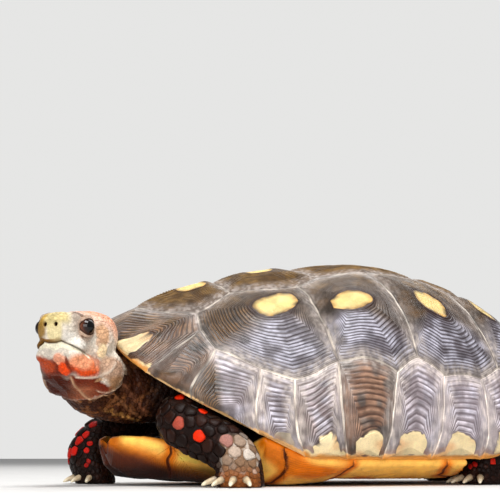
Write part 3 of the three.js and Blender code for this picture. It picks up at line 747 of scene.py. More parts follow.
@dataclass(frozen=True)
class PlateMaker:
    """Turns plates into closed horn meshes with real growth ridges."""

    form: ShellForm = SHELL
    seam_step: float = 1.5
    seam_radius: float = 0.5
    rim_radius: float = 1.9
    gap: float = 0.02
    rows_per_ridge: int = 5
    ridge_height: float = 0.42
    waver: float = 0.006
    # the wall's rings: degrees round the edge's rounding, and whether it is the lower one
    bends: tuple = ((30, False), (60, False), (90, False), (90, True), (45, True), (0, True))

    def surface(self, plate: Plate, uv: Array) -> Array:
        """Points of the surface that the plate lies on."""
        return self.form.underside(uv) if plate.kind is Kind.PLASTRON else self.form.dome(uv)

    def slopes(self, plate: Plate, uv: Array) -> tuple[Array, Array, Array]:
        """Change along both map directions, and the map's normal.

        Args:
            plate: the plate.
            uv: map places.

        Returns:
            Both changes per unit of the map, and the normals.
        """
        step = 0.01 if plate.kind is Kind.PLASTRON else 0.004
        steps = np.array([[step, 0.0], [0.0, step]])
        du, dv = ((self.surface(plate, uv + s) - self.surface(plate, uv - s)) / (2 * step) for s in steps)
        return du, dv, unit(np.cross(du, dv))

    def outline(self, plate: Plate) -> tuple[Array, Array]:
        """Fine outline, counter-clockwise on the map, and which of its places are on the free rim.

        Args:
            plate: the plate.

        Returns:
            Map places, and 1 for each that is on the free rim.
        """
        corners = np.array(plate.corners, float)
        after = np.roll(corners, -1, axis=0)
        if np.sum(corners[:, 0] * after[:, 1] - after[:, 0] * corners[:, 1]) < 0:
            corners = corners[::-1]
            after = np.roll(corners, -1, axis=0)
        dome = plate.kind is not Kind.PLASTRON
        places, rims = [], []
        for a, b in zip(corners, after):
            ends = self.surface(plate, np.array([a, b]))
            count = max(2, round(float(np.linalg.norm(ends[1] - ends[0])) / self.seam_step))
            f = np.arange(count)[:, None] / count
            rim = dome and min(np.hypot(*a), np.hypot(*b)) > self.form.edge_t - 0.01
            if rim:
                start = math.atan2(a[1], a[0])
                turn = (math.atan2(b[1], b[0]) - start + math.pi) % (2 * math.pi) - math.pi
                psi = start + turn * f[:, 0]
                places.append(self.form.edge_t * np.stack([np.cos(psi), np.sin(psi)], 1))
            else:
                places.append(a + (b - a) * f)
            free = not dome and min(abs(a[1]), abs(b[1])) > 0.99
            rims.append(np.full(count, float(rim or free)))
        uv, rim = np.concatenate(places), np.concatenate(rims)
        at = self.surface(plate, uv)
        shift = np.stack([noise(at, 11, 1), noise(at, 11, 2)], 1) - 0.5
        reach = np.hypot(uv[:, 0], uv[:, 1]) if dome else np.abs(uv[:, 1])
        fade = fall(reach, 1.0 if dome else 0.85, 0.2 if dome else 0.1)
        scale = self.waver * (1.0 if dome else 2.0)
        return uv + shift * 2 * scale * fade[:, None] * np.array([1.0, 1.0] if dome else [200.0, 1.0]), rim

    def drawn_in(self, plate: Plate, uv: Array, inset: Array) -> tuple[Array, Array]:
        """The outline moved in square to itself, on the map and as moves in mm.

        Args:
            plate: the plate.
            uv: its outline on the map.
            inset: how far each place moves in, in mm.

        Returns:
            The moved outline, and the moves per mm as body directions.
        """
        at = self.surface(plate, uv)
        du, dv, normal = self.slopes(plate, uv)
        a = unit(np.cross(normal, at - np.roll(at, 1, axis=0)))
        b = unit(np.cross(normal, np.roll(at, -1, axis=0) - at))
        move = (a + b) / np.maximum(0.5, 1 + np.sum(a * b, 1))[:, None]
        uu, ww, vv = (np.sum(p * q, 1) for p, q in ((du, du), (du, dv), (dv, dv)))
        mu, mv = np.sum(move * du, 1), np.sum(move * dv, 1)
        det = uu * vv - ww * ww
        slide = np.stack([(mu * vv - mv * ww) / det, (mv * uu - mu * ww) / det], 1)
        return uv + slide * inset[:, None], move

    def build(self, plate: Plate) -> tuple[Piece, dict]:
        """Makes the plate's mesh.

        Args:
            plate: the plate.

        Returns:
            The object, and what its colours are worked out from.
        """
        facing = -1.0 if plate.kind is Kind.PLASTRON else 1.0
        edge, rim = self.outline(plate)
        count = len(edge)
        soft = sum(np.roll(rim, k) for k in range(-2, 3)) / 5
        radius = self.seam_radius + (self.rim_radius - self.seam_radius) * soft * rim
        border, move = self.drawn_in(plate, edge, radius + self.gap)
        start = self.areola_outline(plate, border)
        rows = plate.growth * self.rows_per_ridge
        rho = np.arange(rows + 1) / rows
        inner = np.array([0.35, 0.7])
        uv = np.concatenate([
            (plate.centre + (start - plate.centre) * inner[:, None, None]).reshape(-1, 2),
            (start + (border - start) * rho[:, None, None]).reshape(-1, 2)])
        grown = np.repeat(np.concatenate([inner - 1, rho]), count)
        base = self.surface(plate, uv)
        normal = self.slopes(plate, uv)[2] * facing
        reach = length(self.surface(plate, border) - self.surface(plate, start))
        reach = np.tile(reach, len(inner) + len(rho))
        height, crest = self.relief(plate, grown, reach, base)
        top = base + normal * height[:, None]
        middle = self.surface(plate, plate.centre[None])
        middle_normal = self.slopes(plate, plate.centre[None])[2] * facing
        at = self.surface(plate, edge)
        edge_normal = self.slopes(plate, edge)[2] * facing
        wall = []
        for degrees, low in self.bends:
            s, c = math.sin(math.radians(degrees)), math.cos(math.radians(degrees))
            down = plate.thickness - radius * (1 - c) if low else radius * (1 - c)
            wall.append(at + move * (self.gap + radius * (1 - s))[:, None] - edge_normal * down[:, None])
        for f in (0.66, 0.33):
            lining = plate.centre + (border - plate.centre) * f
            under = self.slopes(plate, lining)[2] * facing
            wall.append(self.surface(plate, lining) - under * plate.thickness)
        ends = [middle + middle_normal * height[0], middle - middle_normal * plate.thickness]
        points = np.concatenate([top, *wall, *ends])
        rings = len(inner) + len(rho) + len(wall)
        faces = [face[::-1] for face in ring_faces(rings, count)]
        apex, pit = len(points) - 2, len(points) - 1
        last = (rings - 1) * count
        faces += [[k, (k + 1) % count, apex] for k in range(count)]
        faces += [[last + (k + 1) % count, last + k, pit] for k in range(count)]
        if facing < 0:
            faces = [face[::-1] for face in faces]
        rest = np.zeros(len(points) - len(top))
        facts = {
            "at": points, "grown": np.concatenate([grown, rest + 1.0]),
            "crest": np.concatenate([crest, rest]),
            "up": np.concatenate([normal[:, 2], rest]), "rim": at[rim > 0], "inner": len(top) + 4 * count,
        }
        facts["grown"][apex] = -1.0
        piece = make_piece(plate.name, points, faces)
        around = np.tile(np.arange(count) / count, rings)
        growth = np.stack([np.append(around, [0, 0]), facts["grown"] * plate.growth / 20], 1)
        set_uv(piece, "growth", growth)
        return piece, facts

    def areola_outline(self, plate: Plate, border: Array) -> Array:
        """Map places round the first-year plate, one for each place of the border.

        Args:
            plate: the plate.
            border: its drawn-in outline on the map.

        Returns:
            Map places.
        """
        along, across, lean = plate.areola
        du, dv, _ = (d[0] for d in self.slopes(plate, plate.centre[None]))
        away = border - plate.centre
        x_axis = unit(du)
        y_axis = unit(dv - x_axis * np.dot(dv, x_axis))
        flat = away[:, :1] * du + away[:, 1:] * dv
        x, y = flat @ x_axis, flat @ y_axis
        size = (np.abs((x - lean * y) / along) ** 2.8 + np.abs(y / across) ** 2.8) ** (1 / 2.8)
        share = np.minimum(1 / np.maximum(size, 1e-6), 0.6)
        return plate.centre + away * share[:, None]

    def relief(self, plate: Plate, grown: Array, reach: Array, at: Array) -> tuple:
        """Height over the surface, and how near each place is to a ridge's crest.

        Args:
            plate: the plate.
            grown: -1 at the middle, 0 at the areola's edge, 1 at the seam.
            reach: mm from areola to seam.
            at: body places, for the noise.

        Returns:
            Heights in mm, and nearness to a crest from 0 to 1.
        """
        rho = np.clip(grown, 0, 1)
        wander = noise(at, 16, 3) - 0.5
        phase = plate.growth * (rho + 0.022 * np.sin(9 * rho + 2 * wander)) + 0.5 * wander
        s = phase - np.floor(phase)
        crest = smooth(s / 0.66) * fall(s, 0.76, 0.24)
        tall = np.minimum(self.ridge_height, 0.2 * reach / plate.growth)
        if plate.kind is Kind.PLASTRON:
            tall = tall * 0.3
        fade = smooth(grown / 0.04) * fall(rho, 0.93, 0.06)
        ridges = (crest - 0.35) * tall * fade * (0.45 + 1.1 * noise(at, 9, 4))
        swell = plate.swell * (1 - rho ** 2.2)
        dent = -0.35 * smooth(-grown / 0.3) if plate.kind is not Kind.PLASTRON else 0.0
        rough = 0.16 * (noise(at, 1.6, 5) - 0.5) * smooth((1 - rho) / 0.05)
        return swell + ridges + dent + rough, crest * fade


@dataclass(frozen=True)
class PlatePaint:
    """Colours of the shell plates, by how far each place is from areola, seam and rim, with painted sheen,
    highlights and shade.
    """

    areola: int = 0xFFDC8C
    areola_edge: int = 0xE8A850
    ring: int = 0x2C150E
    # the lower sector's bluish pale is partly a painted sky sheen on its ridges
    low: tuple = (0x34282B, 0xB4B1BE)
    flank: tuple = (0x34261F, 0x7C6C60)
    fore: tuple = (0x0C0501, 0x66461F)
    crown: tuple = (0x3C260C, 0x80602E)
    brown: tuple = (0x4A2E20, 0xA07A62)
    worn: int = 0xAEA29A
    # pale grey laid on the lower rear marginals as painted light
    painted_rear_light: int = 0x8C848C
    seam: int = 0xDED2C4
    blob: int = 0xF8E0AC
    blob_edge: int = 0xD07A2C
    rim: int = 0xE2922E
    amber: int = 0xD87008
    # pale amber: the plates' own pale patches, and the painted highlight band on the front lobes
    amber_pale: int = 0xFCC058
    # dark amber: the real dark blotch and seam edges, and painted shade under the front lobes
    amber_dark: int = 0x5E2206
    # seam colour, also laid as deep painted shade under the front lobes
    seam_and_lobe_shade: int = 0x461806

    def carapace(self, plate: Plate, facts: dict, seams: Array) -> Array:
        """Colours of a dome plate, with a painted sheen on the ridge crests and painted shade in the grooves.

        Args:
            plate: the plate.
            facts: what PlateMaker.build returned.
            seams: distance in mm from each place to the nearest seam.

        Returns:
            Linear colour of each vertex.
        """
        at, crest = facts["at"], facts["crest"]
        grown = facts["grown"] + 0.05 * (noise(at, 4, 11) - 0.5)
        lumps, grain = noise(at, 15, 12), noise(at, 2.2, 13)
        away = unit(at - at[-2] + 1e-6)
        top = rise(facts["up"], 0.66, 0.26)
        low = rise(-away[:, 2], 0.42, 0.3) * (1 - top)
        ahead = smooth((-at[:, 0] - 100 + 8 * (lumps - 0.5)) / 8)
        if plate.kind is Kind.MARGINAL:
            low = (1 - top) * (1 - plate.mottled) * (0.7 + 0.3 * lumps)
            crest = np.where(grown < 0.02, (1 - plate.rim_patch) * 0.7, crest)
            low = low * (1 - ahead)
        fore = rise(-away[:, 0], 0.2, 0.4) * (1 - low) * (1 - top) * rise(lumps, 0.1, 0.3)
        if plate.kind is Kind.MARGINAL:
            fore = np.maximum(fore, ahead * (1 - 0.6 * top))
        brown = plate.mottled * rise(noise(at, 5.5, 26), 0.25, 0.3)
        # ridge crests pale and grooves dark: the horn's own growth lines, with a painted sheen on the crests
        # and painted shade in the grooves, stronger in patches
        sheen_patches = rise(noise(at, 6, 14), 0.3, 0.4)
        dark, pale = (self.blend(k, low, fore, top, brown) for k in (0, 1))
        colour = mix(dark, pale, crest * (0.3 + 0.7 * sheen_patches) * (0.8 + 0.4 * grain))
        near = fall(grown, 0.04, 0.14) * (1 - 0.5 * top) * plate.rim_patch
        colour = lay(colour, self.ring, near * 0.9)
        hair = rise(noise(at * np.array([1, 1, 0.3]), 1.3, 27), 0.4, 0.3)
        band = fall(seams, 1, 9) * (0.3 + 0.6 * hair) * (1 - 0.7 * fore)
        colour = lay(colour, self.worn, band)
        line = fall(seams - 0.1, 0.5 * noise(at, 6, 15), 0.4)
        colour = lay(colour, self.seam, line * (0.2 + 0.6 * rise(noise(at, 8, 28), 0.35, 0.4)))
        colour = colour * (0.8 + 0.4 * grain)[:, None]
        if plate.kind is Kind.MARGINAL:
            # painted light: the marginals' lower sector, and more so at the rear, lifted towards a pale grey
            # and brightened
            rear_light = low * smooth((at[:, 0] + 12) / 35)
            colour = lay(colour, self.painted_rear_light, 0.3 * rear_light) * (1 + 0.8 * low + 0.3 * rear_light)[:, None]
            return self.marginal(plate, facts, colour, fore)
        inside = 1 - smooth((grown + 0.02) / 0.035)
        spot = between(self.areola, self.areola_edge, smooth((grown + 0.12) / 0.12) * 0.7)
        return mix(colour, spot * (0.92 + 0.16 * grain)[:, None], inside)

    def blend(self, k: int, low: Array, fore: Array, top: Array, brown: Array) -> Array:
        """Dark (0) or pale (1) colour of the ridges, by the plate's sectors; the pale is partly a painted
        sheen.

        Args:
            k: 0 for dark, 1 for pale.
            low, fore, top, brown: share of each sector at each place.

        Returns:
            Linear colours.
        """
        colour = between(self.flank[k], self.low[k], low)
        colour = lay(colour, self.fore[k], fore)
        colour = lay(colour, self.brown[k], brown)
        return lay(colour, self.crown[k], top)

    def marginal(self, plate: Plate, facts: dict, colour: Array, fore: Array) -> Array:
        """Adds the cream lower edge and patch of a marginal plate.

        Args:
            plate: the plate.
            facts: what PlateMaker.build returned.
            colour: the plate's horn colours.
            fore: share of the brown front sector.

        Returns:
            Linear colours.
        """
        at = facts["at"]
        low = np.min(length(at[:, None, :] - facts["rim"][None, ::2, :]), axis=1)
        ragged = noise(at, 5, 16) + 0.5 * noise(at, 2, 17)
        edge = fall(low - 0.8, (1.2 + 3.2 * plate.rim_patch) * ragged, 1.0)
        patch = fall(facts["grown"] - 0.03, 0.2 * (ragged - 0.7), 0.05)
        rusty = rise(noise(at, 7, 18), 0.45, 0.25) * rise(low, 1.5, 3)
        cream = between(self.blob, self.blob_edge, rusty * 0.5)
        halo = fall(low - 2.5, (1.2 + 3.6 * plate.rim_patch) * ragged, 2.5)
        halo = halo * 0.5 * plate.rim_patch * (1 - 0.7 * fore)
        colour = mix(colour, tone(self.blob_edge)[None] * 0.4, halo)
        lowest = fall(low - 1.6, 2.4 * noise(at, 6, 19), 2.2)
        cream = lay(cream, self.rim, lowest * (0.5 + 0.45 * plate.rim_patch))
        return mix(colour, cream, np.maximum(edge, patch * plate.rim_patch))

    def plastron(self, facts: dict, seams: Array) -> Array:
        """Colours of an underside plate, with a painted highlight band on the front lobes and painted shade
        below it.

        Args:
            facts: what PlateMaker.build returned.
            seams: distance in mm to the nearest seam.

        Returns:
            Linear colours.
        """
        at = facts["at"]
        lumps = noise(at, 17, 21)
        ahead = rise(-at[:, 0], 78, 14)
        # painted highlight: a pale band along the front lobe's upper edge
        band = at[:, 2] - 26.6 + 0.41 * (at[:, 0] + 137.4) + 2.5 * (lumps - 0.5)
        high = np.exp(-((band / 4.4) ** 2)) * smooth((at[:, 0] + 146) / 5)
        pale = rise(seams, 1.5, 5) * ((1 - ahead) * rise(lumps, 0.15, 0.3) + ahead * high)
        colour = between(self.amber, self.amber_pale, pale)
        middle = fall(np.abs(at[:, 1]), 18, 16) * rise(noise(at, 22, 22), 0.3, 0.3)
        # painted shade below the highlight band on the front lobes
        under = rise(-band, 3.0, 9) * ahead
        # the painted highlight band brightened further
        colour = colour * (1 + 0.3 * ahead * high)[:, None]
        colour = lay(colour, self.amber_dark, 0.85 * np.maximum(middle * (1 - ahead), under))
        colour = lay(colour, self.seam_and_lobe_shade, 0.9 * under * under)
        # painted shade: the front lobes darkened low down
        colour = colour * (1 - 0.75 * ahead * fall(at[:, 2], 8, 7))[:, None]
        colour = lay(colour, self.amber_dark, 0.5 * (1 - smooth(seams / 3)) * noise(at, 5, 23))
        line = fall(seams - 0.4, 0.7 * noise(at, 4, 24), 0.4)
        colour = lay(colour, self.seam_and_lobe_shade, line * 0.9)
        return colour * (0.88 + 0.24 * noise(at, 2.5, 25))[:, None]


PAINT = PlatePaint()


# ---------------------------------------------------------------- shell
@dataclass
class Shell:
    """Carapace and plastron: every plate as its own horn piece."""

    maker: PlateMaker = PlateMaker()
    vertebral_seams: tuple = (0.25, 0.44, 0.668, 0.812)
    vertebral_necks: tuple = (22, 26, 30, 27)
    apex_stations: tuple = (0.164, 0.385, 0.535, 0.73)
    apex_widths: tuple = (30, 33, 38, 43)
    last_apex: tuple[float, float] = (163, 0.66)
    costal_feet: tuple = ((94.4, 0.754), (130, 0.725))
    top_angles: tuple = (0, 20, 26, 37.8, 46.9, 60.5, 83.7, 104.4, 120.8, 137, 152, 168)
    top_radii: tuple = (0.69, 0.609, 0.655, 0.684, 0.705, 0.681, 0.81, 0.809, 0.775, 0.74, 0.72, 0.7)
    rim_angles: tuple = (0, 16, 26, 40, 51, 63.5, 77, 99, 119, 137, 153, 168)
    plastron_seams: tuple = (-106, -62, -42, 36, 92, 133)
    mottling: tuple = (0.5, 0.45, 0.1, 0.05, 0.2, 0.95, 0.15, 0.12, 0.15, 0.3, 0.4)

    def nodes(self, side: int) -> dict:
        """Named corners of the carapace seams on one side.

        Args:
            side: -1 left or 1 right.

        Returns:
            Map places by name.
        """
        form = self.maker.form
        return {
            "front": form.on_disc(0, self.top_radii[0], side),
            "necks": [form.from_plan(s, y, side) for s, y in zip(self.vertebral_seams, self.vertebral_necks)],
            "apexes": [form.from_plan(s, y, side) for s, y in zip(self.apex_stations, self.apex_widths)]
                      + [form.on_disc(*self.last_apex, side)],
            "tops": [form.on_disc(a, t, side) for a, t in zip(self.top_angles, self.top_radii)],
            "rims": [form.on_disc(a, form.edge_t, side) for a in self.rim_angles],
            "feet": [form.on_disc(*foot, side) for foot in self.costal_feet],
        }

    def vertebrals(self) -> list[Plate]:
        """The five plates along the ridge of the back."""
        form, left, right = self.maker.form, self.nodes(-1), self.nodes(1)

        def across(*picks: tuple[str, int]) -> list:
            """Corners picked on the left, then on the right in reverse."""
            return [left[key][k] for key, k in picks] + [right[key][k] for key, k in reversed(picks)]

        outlines = [
            [left["front"], *across(("apexes", 0), ("necks", 0))],
            across(("necks", 0), ("apexes", 1), ("necks", 1)),
            across(("necks", 1), ("apexes", 2), ("necks", 2)),
            across(("necks", 2), ("apexes", 3), ("necks", 3)),
            across(("necks", 3), ("apexes", 4), ("tops", 11)),
        ]
        stations = (0.19, 0.345, 0.56, 0.775, 0.875)
        sizes = ((10, 8), (9, 8), (9, 9), (11, 9), (8, 8))
        return [
            Plate(f"scute_vertebral_{i + 1}", (f"vertebral_{i + 1}",), Kind.VERTEBRAL, outline,
                  form.from_plan(s, 0, 1), (*size, 0.0), 17)
            for i, (outline, s, size) in enumerate(zip(outlines, stations, sizes))]

    def costals(self, word: str, side: int) -> list[Plate]:
        """The four plates of one flank.

        Args:
            word: left or right.
            side: -1 or 1.

        Returns:
            The plates.
        """
        n = self.nodes(side)
        apexes, necks, tops, feet = n["apexes"], n["necks"], n["tops"], n["feet"]
        outlines = [
            [apexes[0], necks[0], apexes[1], tops[5], tops[4], tops[3], tops[2], tops[1]],
            [apexes[1], necks[1], apexes[2], feet[0], tops[6], tops[5]],
            [apexes[2], necks[2], apexes[3], feet[1], tops[8], tops[7], feet[0]],
            [apexes[3], necks[3], apexes[4], tops[10], tops[9], feet[1]],
        ]
        places = ((0.315, 44.3), (0.457, 61), (0.632, 63.9), (0.795, 47))
        sizes = ((14.2, 8.6, 0.1), (10.5, 8.6, 0.5), (10.5, 8.2, 0.35), (9, 8, 0.3))
        return [
            Plate(f"scute_costal_{word}_{i + 1}", (f"costal_{word}_{i + 1}",), Kind.COSTAL, outline,
                  self.maker.form.from_plan(*place, side), (a, b, side * lean), 18)
            for i, (outline, place, (a, b, lean)) in enumerate(zip(outlines, places, sizes))]

    def marginals(self, word: str, side: int) -> list[Plate]:
        """The eleven plates along one edge.

        Args:
            word: left or right.
            side: -1 or 1.

        Returns:
            The plates.
        """
        n, plates = self.nodes(side), []
        extra = {0: n["apexes"][0], 6: n["feet"][0], 8: n["feet"][1], 10: n["apexes"][4]}
        for i in range(11):
            upper = [n["tops"][i]] + ([extra[i]] if i in extra else [])
            outline = [*upper, n["tops"][i + 1], n["rims"][i + 1], n["rims"][i]]
            share = 0.5 if i < 8 else 0.4
            angle = self.rim_angles[i] + (self.rim_angles[i + 1] - self.rim_angles[i]) * share
            centre = self.maker.form.on_disc(10.3 if i == 0 else angle, 1.02 if i == 0 else 1.14, side)
            size = (5.6, 4.4, 0.0) if i < 4 else (9.5, 7.5, 0.0)
            plates.append(Plate(
                f"scute_marginal_{word}_{i + 1}", (f"marginal_{word}_{i + 1}",), Kind.MARGINAL, outline,
                centre, size, 13, 4.2, 1.6, self.mottling[i], (0.9, 0, 0, 0.3)[i] if i < 4 else 1.0))
        return plates

    def supracaudal(self) -> Plate:
        """The plate over the tail."""
        left, right = self.nodes(-1), self.nodes(1)
        outline = [left["tops"][11], right["tops"][11], right["rims"][11], left["rims"][11]]
        centre = self.maker.form.on_disc(180, 1.1, 1)
        return Plate("scute_supracaudal", ("supracaudal",), Kind.MARGINAL, outline, centre,
                     (6, 9, 0), 13, 4.2, 1.6)

    def underside(self, word: str, side: int) -> list[Plate]:
        """The plates of one half of the plastron, with the small ones at the ends of the bridge.

        Args:
            word: left or right.
            side: -1 or 1.

        Returns:
            The plates.
        """
        gular, humeral, pectoral, abdominal, femoral, anal = self.plastron_seams
        m, e = 0.004 * side, float(side)
        rows = {
            "gular": [(-148, m), (-148, e), (-142, e), (-133, e), (-121, e), (gular, m)],
            "humeral": [(gular, m), (-121, e), (-108, e), (-89, e), (-83, 0.66 * e), (-75, 0.42 * e),
                        (humeral, m)],
            "axillary": [(-89, e), (-80, e), (-69, e), (-63, 0.9 * e), (-66, 0.72 * e), (-83, 0.66 * e)],
            "pectoral": [(humeral, m), (-75, 0.42 * e), (-83, 0.66 * e), (-66, 0.72 * e), (-63, 0.9 * e),
                         (-69, e), (-60, e), (-26, e), (-30, 0.82 * e), (pectoral, m)],
            "abdominal": [(pectoral, m), (-30, 0.82 * e), (-26, e), (0, e), (26, e), (38, e), (41, 0.8 * e),
                          (60, 0.72 * e), (abdominal, m)],
            "inguinal": [(38, e), (52, e), (60, e), (60, 0.72 * e), (41, 0.8 * e)],
            "femoral": [(abdominal, m), (60, 0.72 * e), (60, e), (80, e), (102, e), (femoral, m)],
            "anal": [(femoral, m), (102, e), (122, e), (137, e), (anal, m)],
        }
        plates = []
        for name, outline in rows.items():
            corners = [np.array(c, float) for c in outline]
            nodes = () if name in ("axillary", "inguinal") else (f"{name}_{word}",)
            centre = np.mean(corners, axis=0)
            plates.append(Plate(f"scute_{name}_{word}", nodes, Kind.PLASTRON, corners, centre,
                                (7, 6, 0), 9, 5.0, 0.7))
        return plates

    def build(self) -> None:
        """Builds, paints and declares every plate."""
        finishes = {
            Kind.VERTEBRAL: HornFinish("horn_crown", 0.5, coat=0.0, specular=0.15).make(),
            Kind.COSTAL: HornFinish("horn_flank", 0.33, coat=0.12, specular=0.35).make(),
            Kind.MARGINAL: HornFinish("horn_edge", 0.35, coat=0.15).make(),
            Kind.PLASTRON: HornFinish("horn_belly", 0.36, line_depth=0.03, coat=0.03, specular=0.2).make(),
        }
        slots = {Kind.MARGINAL: "marginal", Kind.PLASTRON: "plastron"}
        plates = [*self.vertebrals(), self.supracaudal()]
        for word, side in (("left", -1), ("right", 1)):
            plates += [*self.costals(word, side), *self.marginals(word, side), *self.underside(word, side)]
        for plate in plates:
            piece, facts = self.maker.build(plate)
            seams = self.seam_distance(plate, facts)
            if plate.kind is Kind.PLASTRON:
                tint = PAINT.plastron(facts, seams)
            else:
                tint = PAINT.carapace(plate, facts, seams)
            # painted shade: the walls and undersides of the plates are darkened, those of the marginals to a
            # dark orange
            if plate.kind is Kind.MARGINAL:
                tint[facts["inner"]:-2] = tone(PAINT.rim) * 0.55
            else:
                tint[facts["inner"]:-2] *= 0.3
            set_tint(piece, tint)
            piece.data.materials.append(finishes[plate.kind])
            declare(piece, slots.get(plate.kind, "carapace"), *plate.nodes)

    def seam_distance(self, plate: Plate, facts: dict) -> Array:
        """Distance in mm from each vertex to the plate's nearest seam.

        Args:
            plate: the plate.
            facts: what PlateMaker.build returned.

        Returns:
            Distances in mm.
        """
        edge, rim = self.maker.outline(plate)
        at = self.maker.surface(plate, edge)[rim < 0.5]
        tree = tree_of(at)
        return np.array([tree.find(place)[2] for place in facts["at"]])


# ---------------------------------------------------------------- flesh
@dataclass(frozen=True)
class Tube:
    """A limb along key rows of x, y, z, half width and half height; nothing goes below the floor."""

    rows: tuple
    sides: int = 28
    per_key: int = 5
    floor: float = 0.2

    def path(self) -> tuple[Array, Array, Array, Array]:
        """Fine rows, and at each one the direction ahead, across and up, carried without a twist."""
        keys = along_keys(np.array(self.rows, float), self.per_key)
        spread = np.gradient(keys[:, :3], axis=0)
        ahead = unit(spread)
        across = [unit(np.cross(ahead[0], [0, 0, 1.0]))]
        for direction in ahead[1:]:
            last = across[-1]
            across.append(unit(last - direction * np.dot(last, direction)))
        across = np.array(across)
        return keys, ahead, across, np.cross(across, ahead)

    def mesh(self, shrink: float) -> tuple[Array, list]:
        """Points and faces of the closed tube, drawn in by shrink mm.

        Args:
            shrink: how far the wall moves in, in mm.

        Returns:
            Body places and faces.
        """
        keys, ahead, across, up = self.path()
        angle = 2 * np.pi * np.arange(self.sides) / self.sides
        wide = (keys[:, 3:4] - shrink) * np.cos(angle)
        high = (keys[:, 4:5] - shrink) * np.sin(angle)
        rings = keys[:, None, :3] + across[:, None] * wide[..., None] + up[:, None] * high[..., None]
        ends = [keys[0, :3] - ahead[0] * 0.35 * keys[0, 3:].min(),
                keys[-1, :3] + ahead[-1] * 0.35 * keys[-1, 3:].min()]
        points = np.concatenate([rings.reshape(-1, 3), ends])
        points[:, 2] = np.maximum(points[:, 2], self.floor)
        return points, closed_faces(len(keys), self.sides)


def closed_faces(rows: int, columns: int) -> list:
    """Faces of stacked rings closed by two end points that follow them.

    Args:
        rows: number of rings.
        columns: vertices in a ring.

    Returns:
        Vertex numbers of each face.
    """
    last = (rows - 1) * columns
    tip, end = rows * columns, rows * columns + 1
    faces = ring_faces(rows, columns)
    faces += [[(k + 1) % columns, k, tip] for k in range(columns)]
    faces += [[last + k, last + (k + 1) % columns, end] for k in range(columns)]
    return faces


def ball(centre: Array, radii: Array, axes: Array, columns: int = 24, rows: int = 14) -> tuple:
    """Points and faces of an ellipsoid whose radii lie along the given axes.

    Args:
        centre: body place of the middle.
        radii: the three radii in mm.
        axes: rows of unit directions of the radii.
        columns: vertices round it.
        rows: bands from end to end.

    Returns:
        Its points and faces.
    """
    a = np.pi * np.arange(1, rows) / rows
    b = 2 * np.pi * np.arange(columns) / columns
    flat = [np.sin(a)[:, None] * np.cos(b), np.sin(a)[:, None] * np.sin(b), np.cos(a)[:, None] + 0 * b]
    local = np.concatenate([np.stack(flat, -1).reshape(-1, 3), [[0, 0, 1], [0, 0, -1]]])
    return centre + (local * radii) @ axes, closed_faces(rows - 1, columns)


LIMBS = {
    "foreleg_left": Tube((
        (-66, -34, 44, 13, 14), (-92, -40, 43, 13, 14), (-113, -47, 41, 14, 14), (-121, -53, 37, 14, 14),
        (-113, -62, 30, 14, 13.5), (-102, -72, 23, 13.5, 13), (-96, -79, 13, 13.5, 13),
        (-95, -81, -5, 14, 13.5))),
    "foreleg_right": Tube((
        (-62, 44, 46, 13, 15), (-88, 54, 43, 14, 14), (-112, 58, 37, 15, 14), (-129, 59, 28, 15, 14),
        (-137, 58, 18, 15, 14), (-135, 57, 8, 16, 13), (-132, 57, -5, 15.5, 13))),
    "hindleg_left": Tube((
        (98, -30, 46, 17, 17), (92, -46, 41, 17, 17), (84, -59, 33, 16, 16),
        (77, -66, 22, 14.5, 14), (74, -68, 10, 14.5, 13), (73, -68, -4, 15.5, 14))),
    "hindleg_right": Tube((
        (88, 30, 46, 17, 17), (100, 44, 41, 17, 16), (112, 55, 33, 15.5, 15),
        (122, 59, 22, 14, 13.5), (127, 59, 10, 14, 12.5), (129, 59, -4, 15, 13.5))),
    "tail": Tube((
        (104, 0, 40, 13, 12), (121, 1, 31, 10.5, 10), (134, 5, 22, 8, 8), (142, 13, 14, 5.5, 5.5),
        (144, 23, 8, 3, 3))),
    "neck": Tube((
        (-92, 0, 60, 27, 22), (-112, 0, 60, 25, 23), (-132, -1, 60, 22, 24), (-150, -6, 61, 20, 23),
        (-164, -16, 65, 18, 22), (-172, -25, 70, 15, 17)), sides=40),
}


@dataclass(frozen=True)
class Foot:
    """Where the claws of one foot sit: foot centre, reach, headings in plan, height and dip."""

    leg: str
    centre: tuple[float, float]
    reach: float
    headings: tuple
    palm: tuple[float, float] | None = None
    height: float = 5.0
    drop: float = 3.6

    def roots(self) -> list[tuple[Array, float]]:
        """Place of each claw's root and its heading in degrees."""
        places = []
        for heading in self.headings:
            a = math.radians(heading)
            x, y = self.centre[0] + self.reach * math.cos(a), self.centre[1] + self.reach * math.sin(a)
            places.append((np.array([x, y, self.height]), heading))
        return places


FEET = (
    Foot("foreleg_left", (-96, -80), 9, (142, 172, 202, 232, 262), (-99, -90)),
    Foot("foreleg_right", (-132, 57), 9, (112, 142, 172, 202, 232)),
    Foot("hindleg_left", (73, -68), 8.5, (150, 178, 206, 234)),
    Foot("hindleg_right", (130, 59), 8.5, (104, 132, 160, 188)),
)


